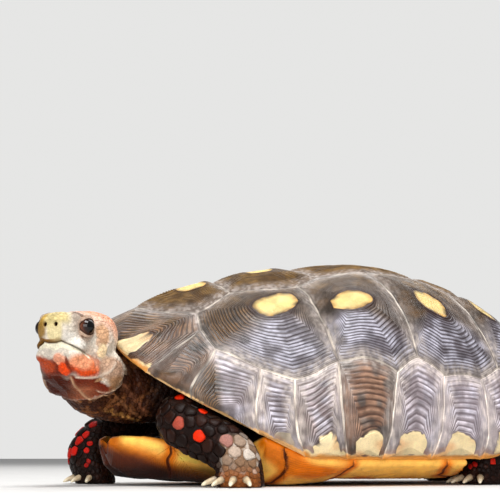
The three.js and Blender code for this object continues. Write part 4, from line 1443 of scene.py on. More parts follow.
@dataclass(frozen=True)
class Eye:
    """Shape of an eye's opening in the skin."""

    gaze: Triple = (0.42, 0.9, 0.05)
    seat: Triple = (-0.8, 12.4, -0.6)
    ahead: float = 82.0
    back: float = 74.0
    above: float = 50.0
    below: float = 56.0
    behind: float = 4.7
    margin: float = 5.75
    lid: float = 6.5

    def centre(self, side: int) -> Array:
        """Body place of an eyeball's centre."""
        return HEAD.spot(self.seat, side)

    def axes(self, side: int) -> Array:
        """Rows: out of the eye, across the opening and up, in head coordinates.

        Args:
            side: 1 left or -1 right.

        Returns:
            Three unit rows.
        """
        out = unit(np.array([self.gaze[0], side * self.gaze[1], self.gaze[2]]))
        across = unit(np.cross([0, 0, 1.0], out))
        return np.array([out, across, np.cross(out, across)])

    def opening(self, local: Array, side: int) -> tuple[Array, Array]:
        """How far each head place is from the eye's centre, and from the opening's middle (1 at its edge).

        Args:
            local: head places.
            side: 1 left or -1 right.

        Returns:
            Distances in mm, and places across the opening.
        """
        ahead, left, up = self.seat
        away = (local - [ahead, side * left, up]) @ self.axes(side).T
        far = length(away)
        angle = np.degrees(np.arccos(np.clip(away[:, 0] / np.maximum(far, 1e-6), -1, 1)))
        turn = np.arctan2(away[:, 2], -side * away[:, 1])
        front, over = np.cos(turn) > 0, np.sin(turn) > 0
        wide = np.where(front, self.ahead, self.back)
        tall = np.where(over, self.above, self.below)
        power = np.where(front, 1.55, 2.1)
        along, high = np.abs(angle * np.cos(turn)) / wide, np.abs(angle * np.sin(turn)) / tall
        return far, (along ** power + high ** power) ** (1 / power)


EYE = Eye()


@dataclass(frozen=True)
class HeadForm:
    """The head in head coordinates: sections, rounded masses and carved features."""

    # ahead of the eyes, half width, top, bottom
    skull: tuple = (
        (18.6, 5, 1.5, -9), (17.2, 7.8, 4.4, -9.8), (12.5, 10.2, 6.6, -11.4), (5, 12, 7.6, -13),
        (-4, 13.6, 8.2, -15.4), (-13, 16.8, 9.4, -17.6), (-23, 19.2, 10.6, -19.6), (-31, 19, 11, -20.4),
        (-39, 16, 10, -20), (-46, 11, 5, -17))
    jaw: tuple = (
        (14.6, 4.6, -9, -14.8), (12.6, 8, -9.6, -18.6), (6, 12.4, -11, -25.4), (-3, 15.8, -13, -31.6),
        (-13, 17.6, -15, -35.4), (-22, 17.6, -16, -37), (-30, 16.6, -17, -36.5), (-37, 14, -17, -34))
    # place and radii of rounded masses on both sides
    masses: tuple = (
        ((3, 8, 3.8), (8, 5, 3.9)),
        ((3, 7.6, -11.3), (10, 6.1, 4.2)),
        ((-20, 12.4, -8), (12.5, 8.4, 12)),
        ((-25.5, 14.6, -24.5), (13, 9.8, 13.2)),
        ((5, 9.6, -17), (8, 4.2, 4)),
    )
    power: float = 2.45

    def parts(self) -> list[tuple[Array, list]]:
        """Closed meshes that together make the head's mass, as body places."""
        axes = HEAD.axes()
        meshes = [self.loft(self.skull), self.loft(self.jaw)]
        for side in (1, -1):
            for place, radii in self.masses:
                meshes.append(ball(HEAD.spot(place, side), np.array(radii), axes))
            meshes.append(ball(EYE.centre(side), np.full(3, EYE.lid), axes))
        return meshes

    def loft(self, rows: tuple, sides: int = 40) -> tuple[Array, list]:
        """A closed mesh through sections of rounded-box outline.

        Args:
            rows: ahead, half width, top and bottom of each section.
            sides: vertices in a ring.

        Returns:
            Body places and faces.
        """
        keys = along_keys(np.array(rows, float), 5)
        a = 2 * np.pi * np.arange(sides) / sides
        c, s = (np.sign(w) * np.abs(w) ** (2 / self.power) for w in (np.cos(a), np.sin(a)))
        middle, half = (keys[:, 2:3] + keys[:, 3:4]) / 2, (keys[:, 2:3] - keys[:, 3:4]) / 2
        rings = np.stack([keys[:, :1] + 0 * c, keys[:, 1:2] * c, middle + half * s], -1).reshape(-1, 3)
        ends = [[keys[0, 0] + 0.8, 0, middle[0, 0]], [keys[-1, 0] - 2, 0, middle[-1, 0]]]
        return HEAD.out(np.concatenate([rings, ends])), closed_faces(len(keys), sides)

    def mouth(self, local: Array) -> Array:
        """Height of the mouth line at each head place.

        Args:
            local: head places.

        Returns:
            Heights in mm.
        """
        ahead, side = local[:, 0], np.abs(local[:, 1])
        along = side + 0.55 * np.maximum(15 - ahead, 0)
        hook = np.exp(-((side / 4.2) ** 4)) * rise(ahead, 8, 4)
        return -9.3 - 0.36 * np.clip(along - 5.5, 0, 20) - 1.0 * hook

    def ear(self, local: Array) -> Array:
        """How far head places are from the ear drum's middle, 1 at its rim."""
        return np.sqrt(((local[:, 0] + 20) / 4.4) ** 2 + ((local[:, 2] + 12.6) / 5.0) ** 2)

    def carve(self, points: Array, normals: Array) -> Array:
        """Cuts eye openings, lids, nostrils, mouth, beak, ear and folds into the skin.

        Args:
            points: body places of the skin's vertices.
            normals: their outward directions.

        Returns:
            The moved places.
        """
        local, out = HEAD.into(points), normals @ HEAD.axes().T
        on_head = smooth((local[:, 0] + 42) / 12)
        ahead, left, up = local.T
        side = np.abs(left)
        # mouth line, with the beak's edge standing proud of the lower jaw
        gap = up - self.mouth(local)
        front = smooth((ahead + 5) / 4)
        groove = np.exp(-((gap / 0.55) ** 2)) * front
        lip = np.tanh((gap + 0.3) / 0.45) * np.exp(-((gap / 3.6) ** 2)) * front
        move = -1.25 * groove + 0.4 * lip
        # crease from the mouth corner down the cheek, and a keel down the beak's front
        crease = np.exp(-(((ahead + 6.5 - 0.25 * (up + 17)) / 0.9) ** 2))
        crease = crease * smooth((-14 - up) / 3) * smooth((up + 27) / 5)
        move -= 0.8 * crease * rise(side, 8, 4)
        # ear drum: a shallow dish with a low rim
        ear = self.ear(local)
        on_side = rise(side, 10, 3)
        move += on_side * (0.3 * np.exp(-(((ear - 1.1) / 0.16) ** 2)) - 0.65 * fall(ear, 0.72, 0.3))
        # nostrils
        pit = ((side - 3.2) / 0.95) ** 2 + ((up + 0.2) / 1.2) ** 2
        nose = rise(ahead, 10, 3)
        rim = 0.25 * np.exp(-((np.sqrt(pit) - 1.7) ** 2) / 0.1)
        # slack skin: fine folds over throat and jowls, lumps elsewhere
        low = smooth((-20 - up) / 6) * on_head
        lines = noise(points * np.array([1, 1, 0.35]), 3.4, 31) - 0.5
        lumps = noise(points, 6.5, 32) - 0.5
        move += on_head * (low * 1.1 * lines + 0.5 * lumps)
        raised = sum(crest.height * crest.share(local) for crest in CRESTS)
        local = local + out * (move * on_head + raised)[:, None]
        local[:, 0] += nose * (rim - 2.6 * np.exp(-pit * 1.3))
        return HEAD.out(self.open_eyes(local))

    def open_eyes(self, local: Array) -> Array:
        """Pushes the skin back behind each eyeball and rounds the lids over it.

        Args:
            local: head places of the skin.

        Returns:
            The moved places.
        """
        for side in (1, -1):
            far, edge = EYE.opening(local, side)
            centre = HEAD.into(EYE.centre(side)[None])[0]
            keep = rise(far, 7.4, 3.2)
            above = rise(local[:, 2], centre[2], 2)
            lid = EYE.margin + (EYE.lid + 0.5 * above - EYE.margin) * rise(edge, 1.03, 0.3)
            inner = EYE.behind + (EYE.margin - EYE.behind) * rise(edge, 0.88, 0.12)
            lid = np.where(edge < 1.0, inner, lid)
            folds = 0.5 * np.exp(-(((edge - 1.4) / 0.06) ** 2))
            folds = folds + 0.35 * np.exp(-(((edge - 1.68) / 0.06) ** 2))
            loose = rise(edge, 1.25, 0.5)
            wanted = lid + (np.maximum(far, EYE.lid) - lid) * loose - folds
            wanted = wanted + (far - wanted) * keep
            near = (far < 11) & (local[:, 1] * side > 0)
            away = local - centre
            local = np.where(near[:, None], centre + away * (wanted / np.maximum(far, 1e-6))[:, None], local)
        return local


HEAD_FORM = HeadForm()

# head place that folds and marks are seen from, so that they lie on the skin whatever its depth
HEART = np.array([-22.0, 0.0, -16.0])


@dataclass(frozen=True)
class Crest:
    """A thin raised fold of skin along a path in head coordinates, on both sides."""

    path: tuple
    colour: int
    width: float = 0.6
    height: float = 0.7

    def share(self, local: Array) -> Array:
        """How much of the fold lies at each head place, from 0 to 1.

        Args:
            local: head places.

        Returns:
            One share for each place.
        """
        mirrored = local * np.where(local[:, 1:2] < 0, [[1, -1, 1]], [[1, 1, 1]]) - HEART
        line = unit(along_keys(np.array(self.path, float), 4) - HEART)
        near = np.full(len(local), 99.0)
        close = length(mirrored) < 58
        reach = length(mirrored[close])
        points = mirrored[close] / reach[:, None]
        for start, end in zip(line[:-1], line[1:]):
            span, away = end - start, points - start
            f = np.clip(away @ span / (span @ span), 0, 1)
            near[close] = np.minimum(near[close], length(away - f[:, None] * span) * reach)
        return np.exp(-((near / self.width) ** 2))


CRESTS = (
    Crest(((0.5, 8, -28.6), (-5.5, 15, -28.8), (-12, 19.3, -28), (-16, 22.7, -25), (-20, 24, -20)),
          0xE8D3BE, 0.8),
    Crest(((-40, 19, -14), (-40.5, 20, -21), (-37, 21.5, -28), (-31, 22.5, -33), (-23, 20.8, -37),
           (-18, 14.4, -38.5)), 0xDCC2A6),
    Crest(((-34, 22, -15), (-34.5, 23, -21), (-31, 23.6, -27), (-26, 24, -31)), 0xD2B79C, 0.5, 0.5),
    Crest(((0.2, 4.7, -28.6), (-7.5, 4.2, -33.8), (-16, 4.6, -38.2), (-21.5, 8.5, -40.4), (-24.5, 13.5, -40),
           (-27, 18, -38)), 0xCBA07C, 0.8),
    Crest(((-38, 20.5, -30), (-46, 22, -38), (-56, 24, -46)), 0x7E4C32, 0.9, 0.8),
    Crest(((-33, 18, -38), (-45, 18.5, -43), (-57, 22, -49)), 0x8A5A38, 0.8, 0.8),
    Crest(((-37, 9.9, -46.6), (-46, 13.5, -48), (-54, 18, -50.3), (-64, 21, -51)), 0xB07C42, 0.9, 0.8),
)


@dataclass(frozen=True)
class Mark:
    """A soft-edged patch of colour on the head, in head coordinates."""

    place: Triple
    radii: Triple
    colour: int
    strength: float = 1.0
    sides: tuple = (1, -1)
    ragged: float = 0.5


@dataclass(frozen=True)
class SkinPaint:
    """Markings of skin and scales alike."""

    # near-black of trunk and legs: the skin's own dark, and painted shade under the shell
    body: int = 0x160703
    body_pale: int = 0x34180E
    neck: int = 0x38190B
    neck_pale: int = 0x7A4A28
    hand: int = 0x8A6A50
    hand_pale: int = 0xD4C6B8
    hand_low: int = 0x8A4E22
    head: int = 0xDED2C2
    # dark of the mouth line, painted shade in the gap between the jaws
    line: int = 0x4A3512
    pouch: int = 0x6E1E04
    lip: int = 0xFBF1D6
    painted_beak_shade: int = 0x7E5216
    # near-black of the nostrils, painted shade in their holes
    nostril: int = 0x2A1004
    lid: int = 0xC8A48A
    lid_fold: int = 0x7A543A
    outer_fold: int = 0x8C735F
    socket: int = 0x3E2216
    # place, colour and reach of the bright scales on the legs and the tail
    bright: tuple = (
        (-122, -56, 50, 0xD82400, 2.8), (-116, -67, 43, 0xE02A02, 2.8), (-119.5, -73.4, 28, 0xE02A02, 2.2),
        (-126, -68, 33, 0x9C4434, 1.6), (-106, -84, 27, 0xA87468, 1.6), (-136, 53, 37, 0xA8140A, 2.4),
        (-143, 51, 31, 0xC01A0C, 2.8), (-148, 54, 26, 0xC01A0C, 2.6), (-142, 46, 25, 0xB8160A, 2.4),
        (-144, 46, 20, 0xC01A0C, 2.4), (-150, 54, 19, 0xB8160A, 2.4), (-143, 45, 14, 0x98120A, 2.4),
        (-140, 66, 34, 0xB8160A, 2.8), (-150, 62, 22, 0xC01A0C, 2.8), (-146, 64, 14, 0x98120A, 2.2),
        (75, -81, 16, 0xC8200C, 3.0), (66, -80, 26, 0xB8160A, 2.8), (84, -80, 22, 0xC01A0C, 2.8),
        (62, -74, 12, 0xA8140A, 2.4), (80, -82, 8, 0xA8140A, 2.4), (131, 73, 16, 0xC8200C, 3.0),
        (122, 71, 26, 0xB8160A, 2.8), (140, 69, 22, 0xC01A0C, 2.8), (118, 66, 12, 0xA8140A, 2.4),
        (141, 64, 9, 0xA8140A, 2.4), (137, 20, 10, 0xB05A1C, 2.0), (131, 8, 22, 0xB05A1C, 2.0))
    marks: tuple = (
        Mark((-29, 0, 3), (17, 24, 13), 0xE8986E, 0.95, (1,)),
        Mark((-13, 18, -3.5), (6, 5, 7), 0xC89C78),
        Mark((7, 11, -10), (8, 6, 4.6), 0xF8F0E4, 0.95),
        Mark((1, 13, 0), (8, 7, 8), 0xB29C8C, 0.7),
        Mark((4, 10, 6), (6, 5, 2.6), 0x7E6250, 0.8),
        Mark((-3, 13, 5.6), (4, 4, 2), 0xEBD8C4, 0.6),
        Mark((15, 0, 4), (10, 9.5, 7.5), 0xC8B478, 0.95, (1,)),
        # painted shade: darker olive and gold on the far side of the snout
        Mark((14, -8, 1), (6, 4, 7), 0xC29A42, 0.95, (1,)),
        Mark((13, -8, -6), (9, 6.5, 6), 0x8E6A28, 0.95, (1,)),
        Mark((17, 2.9, -5), (5, 4.2, 6), 0xD8C690, 0.85, (1,)),
        # painted shade: dark maroon over the far side of the throat and jowl
        Mark((-8, -9, -30), (22, 13, 9), 0x421202, 1.0, (1,)),
        Mark((6, 0, -23.5), (11, 13, 6), 0x6A2008, 1.0, (1,)),
        Mark((6.5, -7.5, -22), (8, 7, 5.4), 0xA8401A, 1.0, (1,), 0.4),
        Mark((-2, 14, -23.5), (14, 8, 5.6), 0x842A0C, 1.0, (1,)),
        Mark((-0.5, 14.6, -22.4), (14.5, 7.5, 5.6), 0xE2501A, 1.0, (1,), 0.3),
        Mark((2.5, 13.4, -20), (13, 6.6, 4.6), 0xF6A47A, 1.0, (1,), 0.3),
        Mark((-8, 17.5, -22), (6.5, 5, 3.4), 0xF08050, 0.9, (1,), 0.4),
        Mark((12, 3.2, -19.2), (4.4, 3.6, 3.6), 0xF0A07C, 0.8, (1,), 0.3),
        Mark((6.5, 3.6, -24.6), (5.6, 3, 4.8), 0xE84A14, 1.0, (1,), 0.3),
        Mark((9.5, 6.6, -21.5), (5, 0.9, 5), 0x7A2A12, 0.9, (1,), 0.2),
        Mark((-10, 15, -18.5), (2.6, 3, 4.5), 0xC09C86, 0.6),
        Mark((-18, 23, -24), (12, 7, 8), 0xB08E76),
        Mark((-26, 20, -30), (9, 7, 4.4), 0x9E7450, 0.9),
        Mark((-12, 18, -31), (3.6, 3, 1.6), 0xC99A70, 0.9, (1,), 0.8),
        Mark((-10, 17.5, -9), (2.2, 3, 2.4), 0xC79A78, 0.7, (1, -1), 0.3),
        Mark((-15.5, 19, -17.8), (2.6, 4, 2.4), 0xC39E80, 0.7, (1, -1), 0.3),
        Mark((-12.6, 19, -13.2), (3.7, 4.4, 4.6), 0xF6DAAE, 1.0, (1, -1), 0.3),
    )

    def colours(self, points: Array) -> Array:
        """Linear skin colour at body places.

        Args:
            points: body places.

        Returns:
            Linear colours.
        """
        lumps, grain = noise(points, 9, 41), noise(points, 2.4, 42)
        # the body colour is near-black, partly painted shade under the shell
        body = between(self.body, self.body_pale, 0.6 * rise(grain, 0.45, 0.4))
        neck = between(self.neck, self.neck_pale, rise(grain * 0.6 + lumps * 0.4, 0.45, 0.3))
        x, y, z = points.T
        # painted shade: the neck darkens to the body colour towards the shell
        on_neck = smooth((-118 - x) / 18) * fall(np.hypot(y + 12, (z - 62)), 30, 8)
        colour = mix(body, neck, on_neck)
        for foot in FEET:
            if foot.palm is None:
                continue
            near = fall(np.hypot(x - foot.palm[0], y - foot.palm[1]) - 10, 4 * (lumps - 0.5), 4)
            hand = between(self.hand, self.hand_pale, rise(grain, 0.5, 0.2))
            hand = mix(tone(self.hand_low)[None], hand, rise(z, 5, 9))
            colour = mix(colour, hand, near * fall(z, 25, 6) * 0.9)
        return self.head_colours(points, colour)

    def spots(self, roots: Array, colour: Array, ground: Array) -> Array:
        """Colours of the scales, with the bright scales of the legs.

        Args:
            roots: body places of the scales' roots.
            colour: their colours, which are changed.
            ground: number of the limb that each root is on.

        Returns:
            The colours.
        """
        for *spot, hue, reach in self.bright:
            gap = length(roots - np.array(spot))
            gap[ground > 4] = 99
            near = gap.argmin()
            chosen = (gap < reach) | (np.arange(len(roots)) == near)
            chosen &= gap < reach + 3
            colour[chosen] = tone(hue)
        return colour

    def head_colours(self, points: Array, colour: Array) -> Array:
        """Lays the head's markings over the body colour.

        Args:
            points: body places.
            colour: body colours there.

        Returns:
            Linear colours.
        """
        local = HEAD.into(points)
        ahead, left, up = local.T
        wander = np.stack([noise(points, 5, 43 + k) - 0.5 for k in range(3)], 1)
        fine = noise(points, 1.6, 46)
        nape = ahead + 42 - 1.15 * np.maximum(-up - 22, 0) + 4 * wander[:, 0]
        inside = smooth(nape / (3 + 7 * smooth((up + 14) / 10)))
        pouch = -up - 27.5 + 0.35 * np.minimum(ahead + 10, 0) + 5 * wander[:, 1]
        painted = lay(lay(colour, self.head, inside), self.pouch, inside * smooth(pouch / 1.6))
        outward = unit(local - HEART)
        for mark in self.marks:
            for side in mark.sides:
                away = local + wander * 6 * mark.ragged - np.array(mark.place) * [1, side, 1]
                away = (away - 0.7 * np.sum(away * outward, 1)[:, None] * outward) / np.array(mark.radii)
                soft = 0.26 + 0.03 * max(mark.radii)
                f = 1 - smooth((length(away) - 0.95 + soft / 2) / soft)
                painted = lay(painted, mark.colour, f * mark.strength * inside)
        front = smooth((ahead + 5) / 3)
        gap = up - HEAD_FORM.mouth(local)
        low = 5.4 - 0.26 * np.abs(left) + 3 * wander[:, 1]
        painted = lay(painted, self.lip, front * rise(-gap, 0.2, 0.4) * smooth((gap + low) / 0.9))
        # painted shade: an olive-brown band along the beak's lower edge, strongest on the far side
        painted_beak_shade = front * smooth((left * -0.5 + 5) / 6)
        painted = lay(painted, self.painted_beak_shade, painted_beak_shade * smooth((gap + 0.3) / 0.3) * smooth((2.2 - gap) / 0.9))
        painted = painted * (0.86 + 0.28 * fine)[:, None]
        hidden = np.where(left < 0, rise(-left, 16, 3), 1)
        pit = ((np.abs(left) - 3.2) / 1.0) ** 2 + ((up + 0.2) / 1.2) ** 2
        layers = [(crest.colour, 0.85 * crest.share(local) * hidden) for crest in CRESTS]
        # painted shade in the gap between the jaws, along the mouth line
        layers.append((self.line, np.exp(-((gap / 0.5) ** 2)) * front * 0.92))
        # painted shade in the nostril holes
        layers.append((self.nostril, fall(pit, 0.7, 0.6) * (ahead > 11)))
        for side in (1, -1):
            far, edge = EYE.opening(local, side)
            on_side = left * side > 0
            near = fall(far, 7.2, 1.2) * on_side
            layers += [
                (self.lid, near * 0.6 * fall(edge, 1.34, 0.1)),
                (self.lid_fold, near * 0.8 * np.exp(-(((edge - 1.4) / 0.07) ** 2))),
                (self.outer_fold, near * 0.6 * np.exp(-(((edge - 1.68) / 0.07) ** 2))),
                (self.socket, fall(far, 6.1, 0.5) * on_side * fall(edge, 1.04, 0.06))]
        for hue, share in layers:
            painted = lay(painted, hue, share)
        return painted


SKIN = SkinPaint()


@dataclass(frozen=True)
class Flesh:
    """Trunk, neck, head, legs and tail as one skin without seams."""

    head: HeadForm = HEAD_FORM
    coat: float = 0.7
    voxel: float = 1.3
    trunk_depth: float = 9.4
    trunk_reach: Triple = (0.63, 0.925, 0.7)
    nodes: tuple = ("trunk", "foreleg_left", "foreleg_right", "hindleg_left", "hindleg_right", "tail",
                    "neck", "head", "lower_jaw")

    def trunk(self, sides: int = 72) -> tuple[Array, list]:
        """The inner body: it follows the dome inside the plates.

        Args:
            sides: vertices in a ring.

        Returns:
            Body places and faces.
        """
        psi = -np.pi + 2 * np.pi * np.arange(sides) / sides
        from_front = 180 - np.abs(np.degrees(psi))
        front, side, rear = self.trunk_reach
        share = front + (side - front) * rise(from_front, 46, 16)
        share = share + (rear - share) * rise(from_front, 112, 16)
        rings = []
        for step in (0.15, 0.3, 0.5, 0.7, 0.85, 1.0):
            t = 2 / np.pi * np.arcsin((share * step) ** (SHELL.blend(psi, SHELL.plan_power) / 2))
            uv = t[:, None] * np.stack([np.cos(psi), np.sin(psi)], 1)
            du = (SHELL.dome(uv + [0.004, 0]) - SHELL.dome(uv - [0.004, 0]))
            dv = (SHELL.dome(uv + [0, 0.004]) - SHELL.dome(uv - [0, 0.004]))
            rings.append(SHELL.dome(uv) - unit(np.cross(du, dv)) * self.trunk_depth)
        for step in (1.0, 0.6):
            r = SHELL.outline_radius(psi) * share * step - 2.8
            x, y = SHELL.crown_x + r * np.cos(psi), r * np.sin(psi)
            rings.append(np.stack([x, y, np.full(sides, 17.5)], 1))
        ends = [rings[0].mean(axis=0), [SHELL.crown_x, 0, 17.5]]
        return np.concatenate([*rings, ends]), closed_faces(len(rings), sides)

    def parts(self) -> list[tuple[Array, list]]:
        """All the closed meshes that are fused into the skin."""
        meshes = [self.trunk(), *self.head.parts()]
        meshes += [tube.mesh(self.coat) for tube in LIMBS.values()]
        for foot in FEET:
            for root, heading in foot.roots():
                a = math.radians(heading)
                axes = np.array([[math.cos(a), math.sin(a), 0], [-math.sin(a), math.cos(a), 0], [0, 0, 1.0]])
                meshes.append(ball(root + axes[0] * 0.5, np.array([5.2, 3.7, 4.2]), axes, 12, 8))
        return meshes

    def build(self) -> Piece:
        """Fuses, carves and paints the skin."""
        points, faces, first = [], [], 0
        for part, part_faces in self.parts():
            low = part.copy()
            low[:, 2] = np.maximum(low[:, 2], 0.2)
            points.append(low)
            faces += [[first + k for k in face] for face in part_faces]
            first += len(part)
        skin = make_piece("skin", np.concatenate(points), faces)
        choose_only(skin)
        bpy.ops.object.mode_set(mode="EDIT")
        bpy.ops.mesh.select_all(action="SELECT")
        bpy.ops.mesh.normals_make_consistent(inside=False)
        bpy.ops.object.mode_set(mode="OBJECT")
        apply_modifier(skin, "REMESH", mode="VOXEL", voxel_size=self.voxel * MM, use_smooth_shade=True)
        apply_modifier(skin, "SMOOTH", factor=0.5, iterations=4)
        self.thin_out(skin)
        self.refine(skin, lambda local: (local[:, 0] > -40) & (local[:, 2] > -46), 3)
        self.refine(skin, self.needs_detail, 2)
        at = body_points(skin)
        at = self.head.carve(at, normals(skin))
        at = self.fold(at, normals(skin))
        at[:, 2] = np.maximum(at[:, 2], 0.15)
        put_points(skin, at)
        set_tint(skin, SKIN.colours(at))
        skin.data.materials.append(SkinFinish().make())
        declare(skin, "skin", *self.nodes)
        return skin

    def thin_out(self, skin: Piece) -> None:
        """Makes the faces under the shell few, where nobody sees them.

        Args:
            skin: the skin.
        """
        ground = ScaleCoat().field(body_points(skin), normals(skin))["ground"]
        hidden = np.nonzero(ground < 0)[0]
        group = skin.vertex_groups.new(name="hidden")
        group.add(hidden.tolist(), 1.0, "REPLACE")
        total = len(skin.data.vertices)
        apply_modifier(skin, "DECIMATE", ratio=(total - len(hidden) * 0.85) / total, vertex_group="hidden")
        skin.vertex_groups.clear()

    def needs_detail(self, local: Array) -> Array:
        """Whether a head place lies near an eye, a nostril or the mouth line.

        Args:
            local: head places.

        Returns:
            True or false for each place.
        """
        near = np.zeros(len(local), bool)
        for side in (1, -1):
            far, edge = EYE.opening(local, side)
            near |= (far < 8.5) & (edge < 1.9)
        gap = np.abs(local[:, 2] - self.head.mouth(local))
        near |= (gap < 2.2) & (local[:, 0] > -6)
        near |= (np.abs(local[:, 1]) < 5.5) & (np.abs(local[:, 2] + 0.4) < 2.6) & (local[:, 0] > 13)
        return near

    def refine(self, skin: Piece, wanted: Callable[[Array], Array], rounds: int) -> None:
        """Splits the chosen faces once and eases them.

        Args:
            skin: the skin.
            wanted: tells for head places whether they need smaller faces.
            rounds: times the new vertices are eased.
        """
        mesh = bmesh.new()
        mesh.from_mesh(skin.data)
        middles = np.array([face.calc_center_median()[:] for face in mesh.faces]) / MM - ORIGIN
        chosen = wanted(HEAD.into(middles))
        faces = [face for face, take in zip(mesh.faces, chosen) if take]
        edges = list({edge for face in faces for edge in face.edges})
        split = bmesh.ops.subdivide_edges(mesh, edges=edges, cuts=1, use_grid_fill=True)
        fresh = [part for part in split["geom"] if isinstance(part, bmesh.types.BMVert)]
        axes = {f"use_axis_{axis}": True for axis in "xyz"}
        for _ in range(rounds):
            bmesh.ops.smooth_vert(mesh, verts=fresh, factor=0.5, **axes)
        mesh.to_mesh(skin.data)
        mesh.free()
        shade_smooth(skin)
        skin.data.update()

    def fold(self, points: Array, normals: Array) -> Array:
        """Folds the slack skin of the neck across its length.

        Args:
            points: body places of the skin.
            normals: their outward directions.

        Returns:
            The moved places.
        """
        keys, ahead, _, _ = LIMBS["neck"].path()
        gaps = length(points[:, None] - keys[None, ::2, :3])
        near = gaps.argmin(axis=1)
        along = np.sum((points - keys[::2, :3][near]) * ahead[::2][near], 1) + near * 3.4
        local = HEAD.into(points)
        on_neck = fall(gaps.min(axis=1), 27, 6) * (1 - smooth((local[:, 0] + 38) / 8))
        phase = along / 6.5 + 2.4 * (noise(points, 18, 51) - 0.5)
        valley = np.exp(-(((phase - np.round(phase)) / 0.16) ** 2))
        soft = 0.7 * (noise(points, 5, 52) - 0.5)
        return points + normals * ((soft - 1.3 * valley) * on_neck)[:, None]


@dataclass(frozen=True)
class EyeBalls:
    """The two eyes: wet balls with an iris, and a low cornea over it."""

    radius: float = 5.35
    black: float = 0.002
    # colour, and the degrees from the gaze where it starts and over which it comes in
    rings: tuple = ((0x1A0C08, 26, 3), (0x2E150C, 40, 6), (0x5A3020, 52, 5), (0x8A5B48, 60, 16))
    bulge: float = 0.3

    def build(self) -> None:
        """Builds and paints both eyes."""
        finish = EyeFinish().make()
        for word, side in (("left", 1), ("right", -1)):
            bpy.ops.object.select_all(action="DESELECT")
            centre = (EYE.centre(side) + ORIGIN) * MM
            bpy.ops.mesh.primitive_uv_sphere_add(segments=56, ring_count=36, radius=self.radius * MM)
            ball_piece = bpy.context.object
            ball_piece.name = ball_piece.data.name = f"eyeball_{word}"
            out = Vector(unit(EYE.axes(side)[0] @ HEAD.axes()))
            turn = out.to_track_quat("Z", "Y").to_matrix().to_4x4()
            ball_piece.data.transform(Matrix.Translation(Vector(centre)) @ turn)
            away = body_points(ball_piece) - EYE.centre(side)
            angle = np.degrees(np.arccos(np.clip(unit(away) @ np.array(out), -1, 1)))
            bulged = 1 + self.bulge / self.radius * fall(angle, 20, 30)
            put_points(ball_piece, EYE.centre(side) + away * bulged[:, None])
            tint = np.full((1, 3), self.black)
            for colour, start, width in self.rings:
                tint = lay(tint, colour, rise(angle, start, width))
            set_tint(ball_piece, tint)
            shade_smooth(ball_piece)
            ball_piece.data.materials.append(finish)
            declare(ball_piece, "eye", f"eye_{word}")


# ---------------------------------------------------------------- claws and scales
@dataclass(frozen=True)
class Claws:
    """Curved claws, each a separate piece."""

    length: float = 13.0
    radius: float = 2.9
    taper: float = 0.66
    sides: int = 14
    steps: int = 8
    root_tone: int = 0x6E5A48
    middle_tone: int = 0xC9B391
    tip_tone: int = 0xEADDC0

    def build(self) -> None:
        """Builds the claws of all feet."""
        finish = ClawFinish().make()
        for foot in FEET:
            for number, (root, heading) in enumerate(foot.roots(), 1):
                claw = self.claw(root, heading, foot.drop)
                claw.name = claw.data.name = f"horn_claw_{foot.leg}_{number}"
                claw.data.materials.append(finish)
                declare(claw, "skin")

    def middle(self, f: float, height: float, drop: float) -> tuple[float, float]:
        """Distance out and height of the claw's middle at share f of its length."""
        return self.length * f, max(height - drop * f * f, self.radius * (1 - f) + 0.25)

    def claw(self, root: Array, heading: float, drop: float) -> Piece:
        """One claw, extruded ring by ring along its curve.

        Args:
            root: body place of its root's middle.
            heading: direction in plan, in degrees.
            drop: how far its tip hangs below its root.

        Returns:
            The painted claw.
        """
        bpy.ops.object.select_all(action="DESELECT")
        bpy.ops.mesh.primitive_circle_add(vertices=self.sides, radius=self.radius * MM, fill_type="NGON",
                                          location=(0, 0, root[2] * MM), rotation=(0, math.pi / 2, 0))
        claw = bpy.context.object
        bpy.ops.object.transform_apply(location=True, rotation=True, scale=True)
        bpy.ops.object.mode_set(mode="EDIT")
        bpy.ops.mesh.select_all(action="SELECT")
        last, wide = self.middle(0.0, root[2], drop), 1.0
        for step in range(1, self.steps + 1):
            f = step / self.steps
            now = self.middle(f, root[2], drop)
            move = ((now[0] - last[0]) * MM, 0, (now[1] - last[1]) * MM)
            bpy.ops.mesh.extrude_region_move(TRANSFORM_OT_translate={"value": move})
            narrow = (1 - self.taper * f) * (1 if step < self.steps else 0.45)
            here = (now[0] * MM, 0, now[1] * MM)
            bpy.ops.transform.resize(value=(1, narrow / wide, narrow / wide), center_override=here)
            last, wide = now, narrow
        bpy.ops.object.mode_set(mode="OBJECT")
        apply_modifier(claw, "SUBSURF", levels=1, render_levels=1)
        turn = Matrix.Rotation(math.radians(heading), 4, "Z")
        share = np.clip(read(claw.data.vertices, "co")[:, 0] / MM / self.length, 0, 1)
        shift = Vector(((root[0] + ORIGIN[0]) * MM, (root[1] + ORIGIN[1]) * MM, ORIGIN[2] * MM))
        claw.data.transform(Matrix.Translation(shift) @ turn)
        at = body_points(claw)
        at[:, 2] = np.maximum(at[:, 2], 0.15)
        put_points(claw, at)
        tint = between(self.root_tone, self.middle_tone, rise(share, 0.3, 0.3))
        tint = lay(tint, self.tip_tone, rise(share, 0.7, 0.25))
        set_tint(claw, tint)
        shade_smooth(claw)
        return claw


# stretches of skin that carry a piece of the coat each; they fill a grid of three columns on the skin's map
GROUNDS = ("foreleg_left", "foreleg_right", "hindleg_left", "hindleg_right", "tail", "neck", "head")
LIMB_GROUNDS = GROUNDS[:-1]


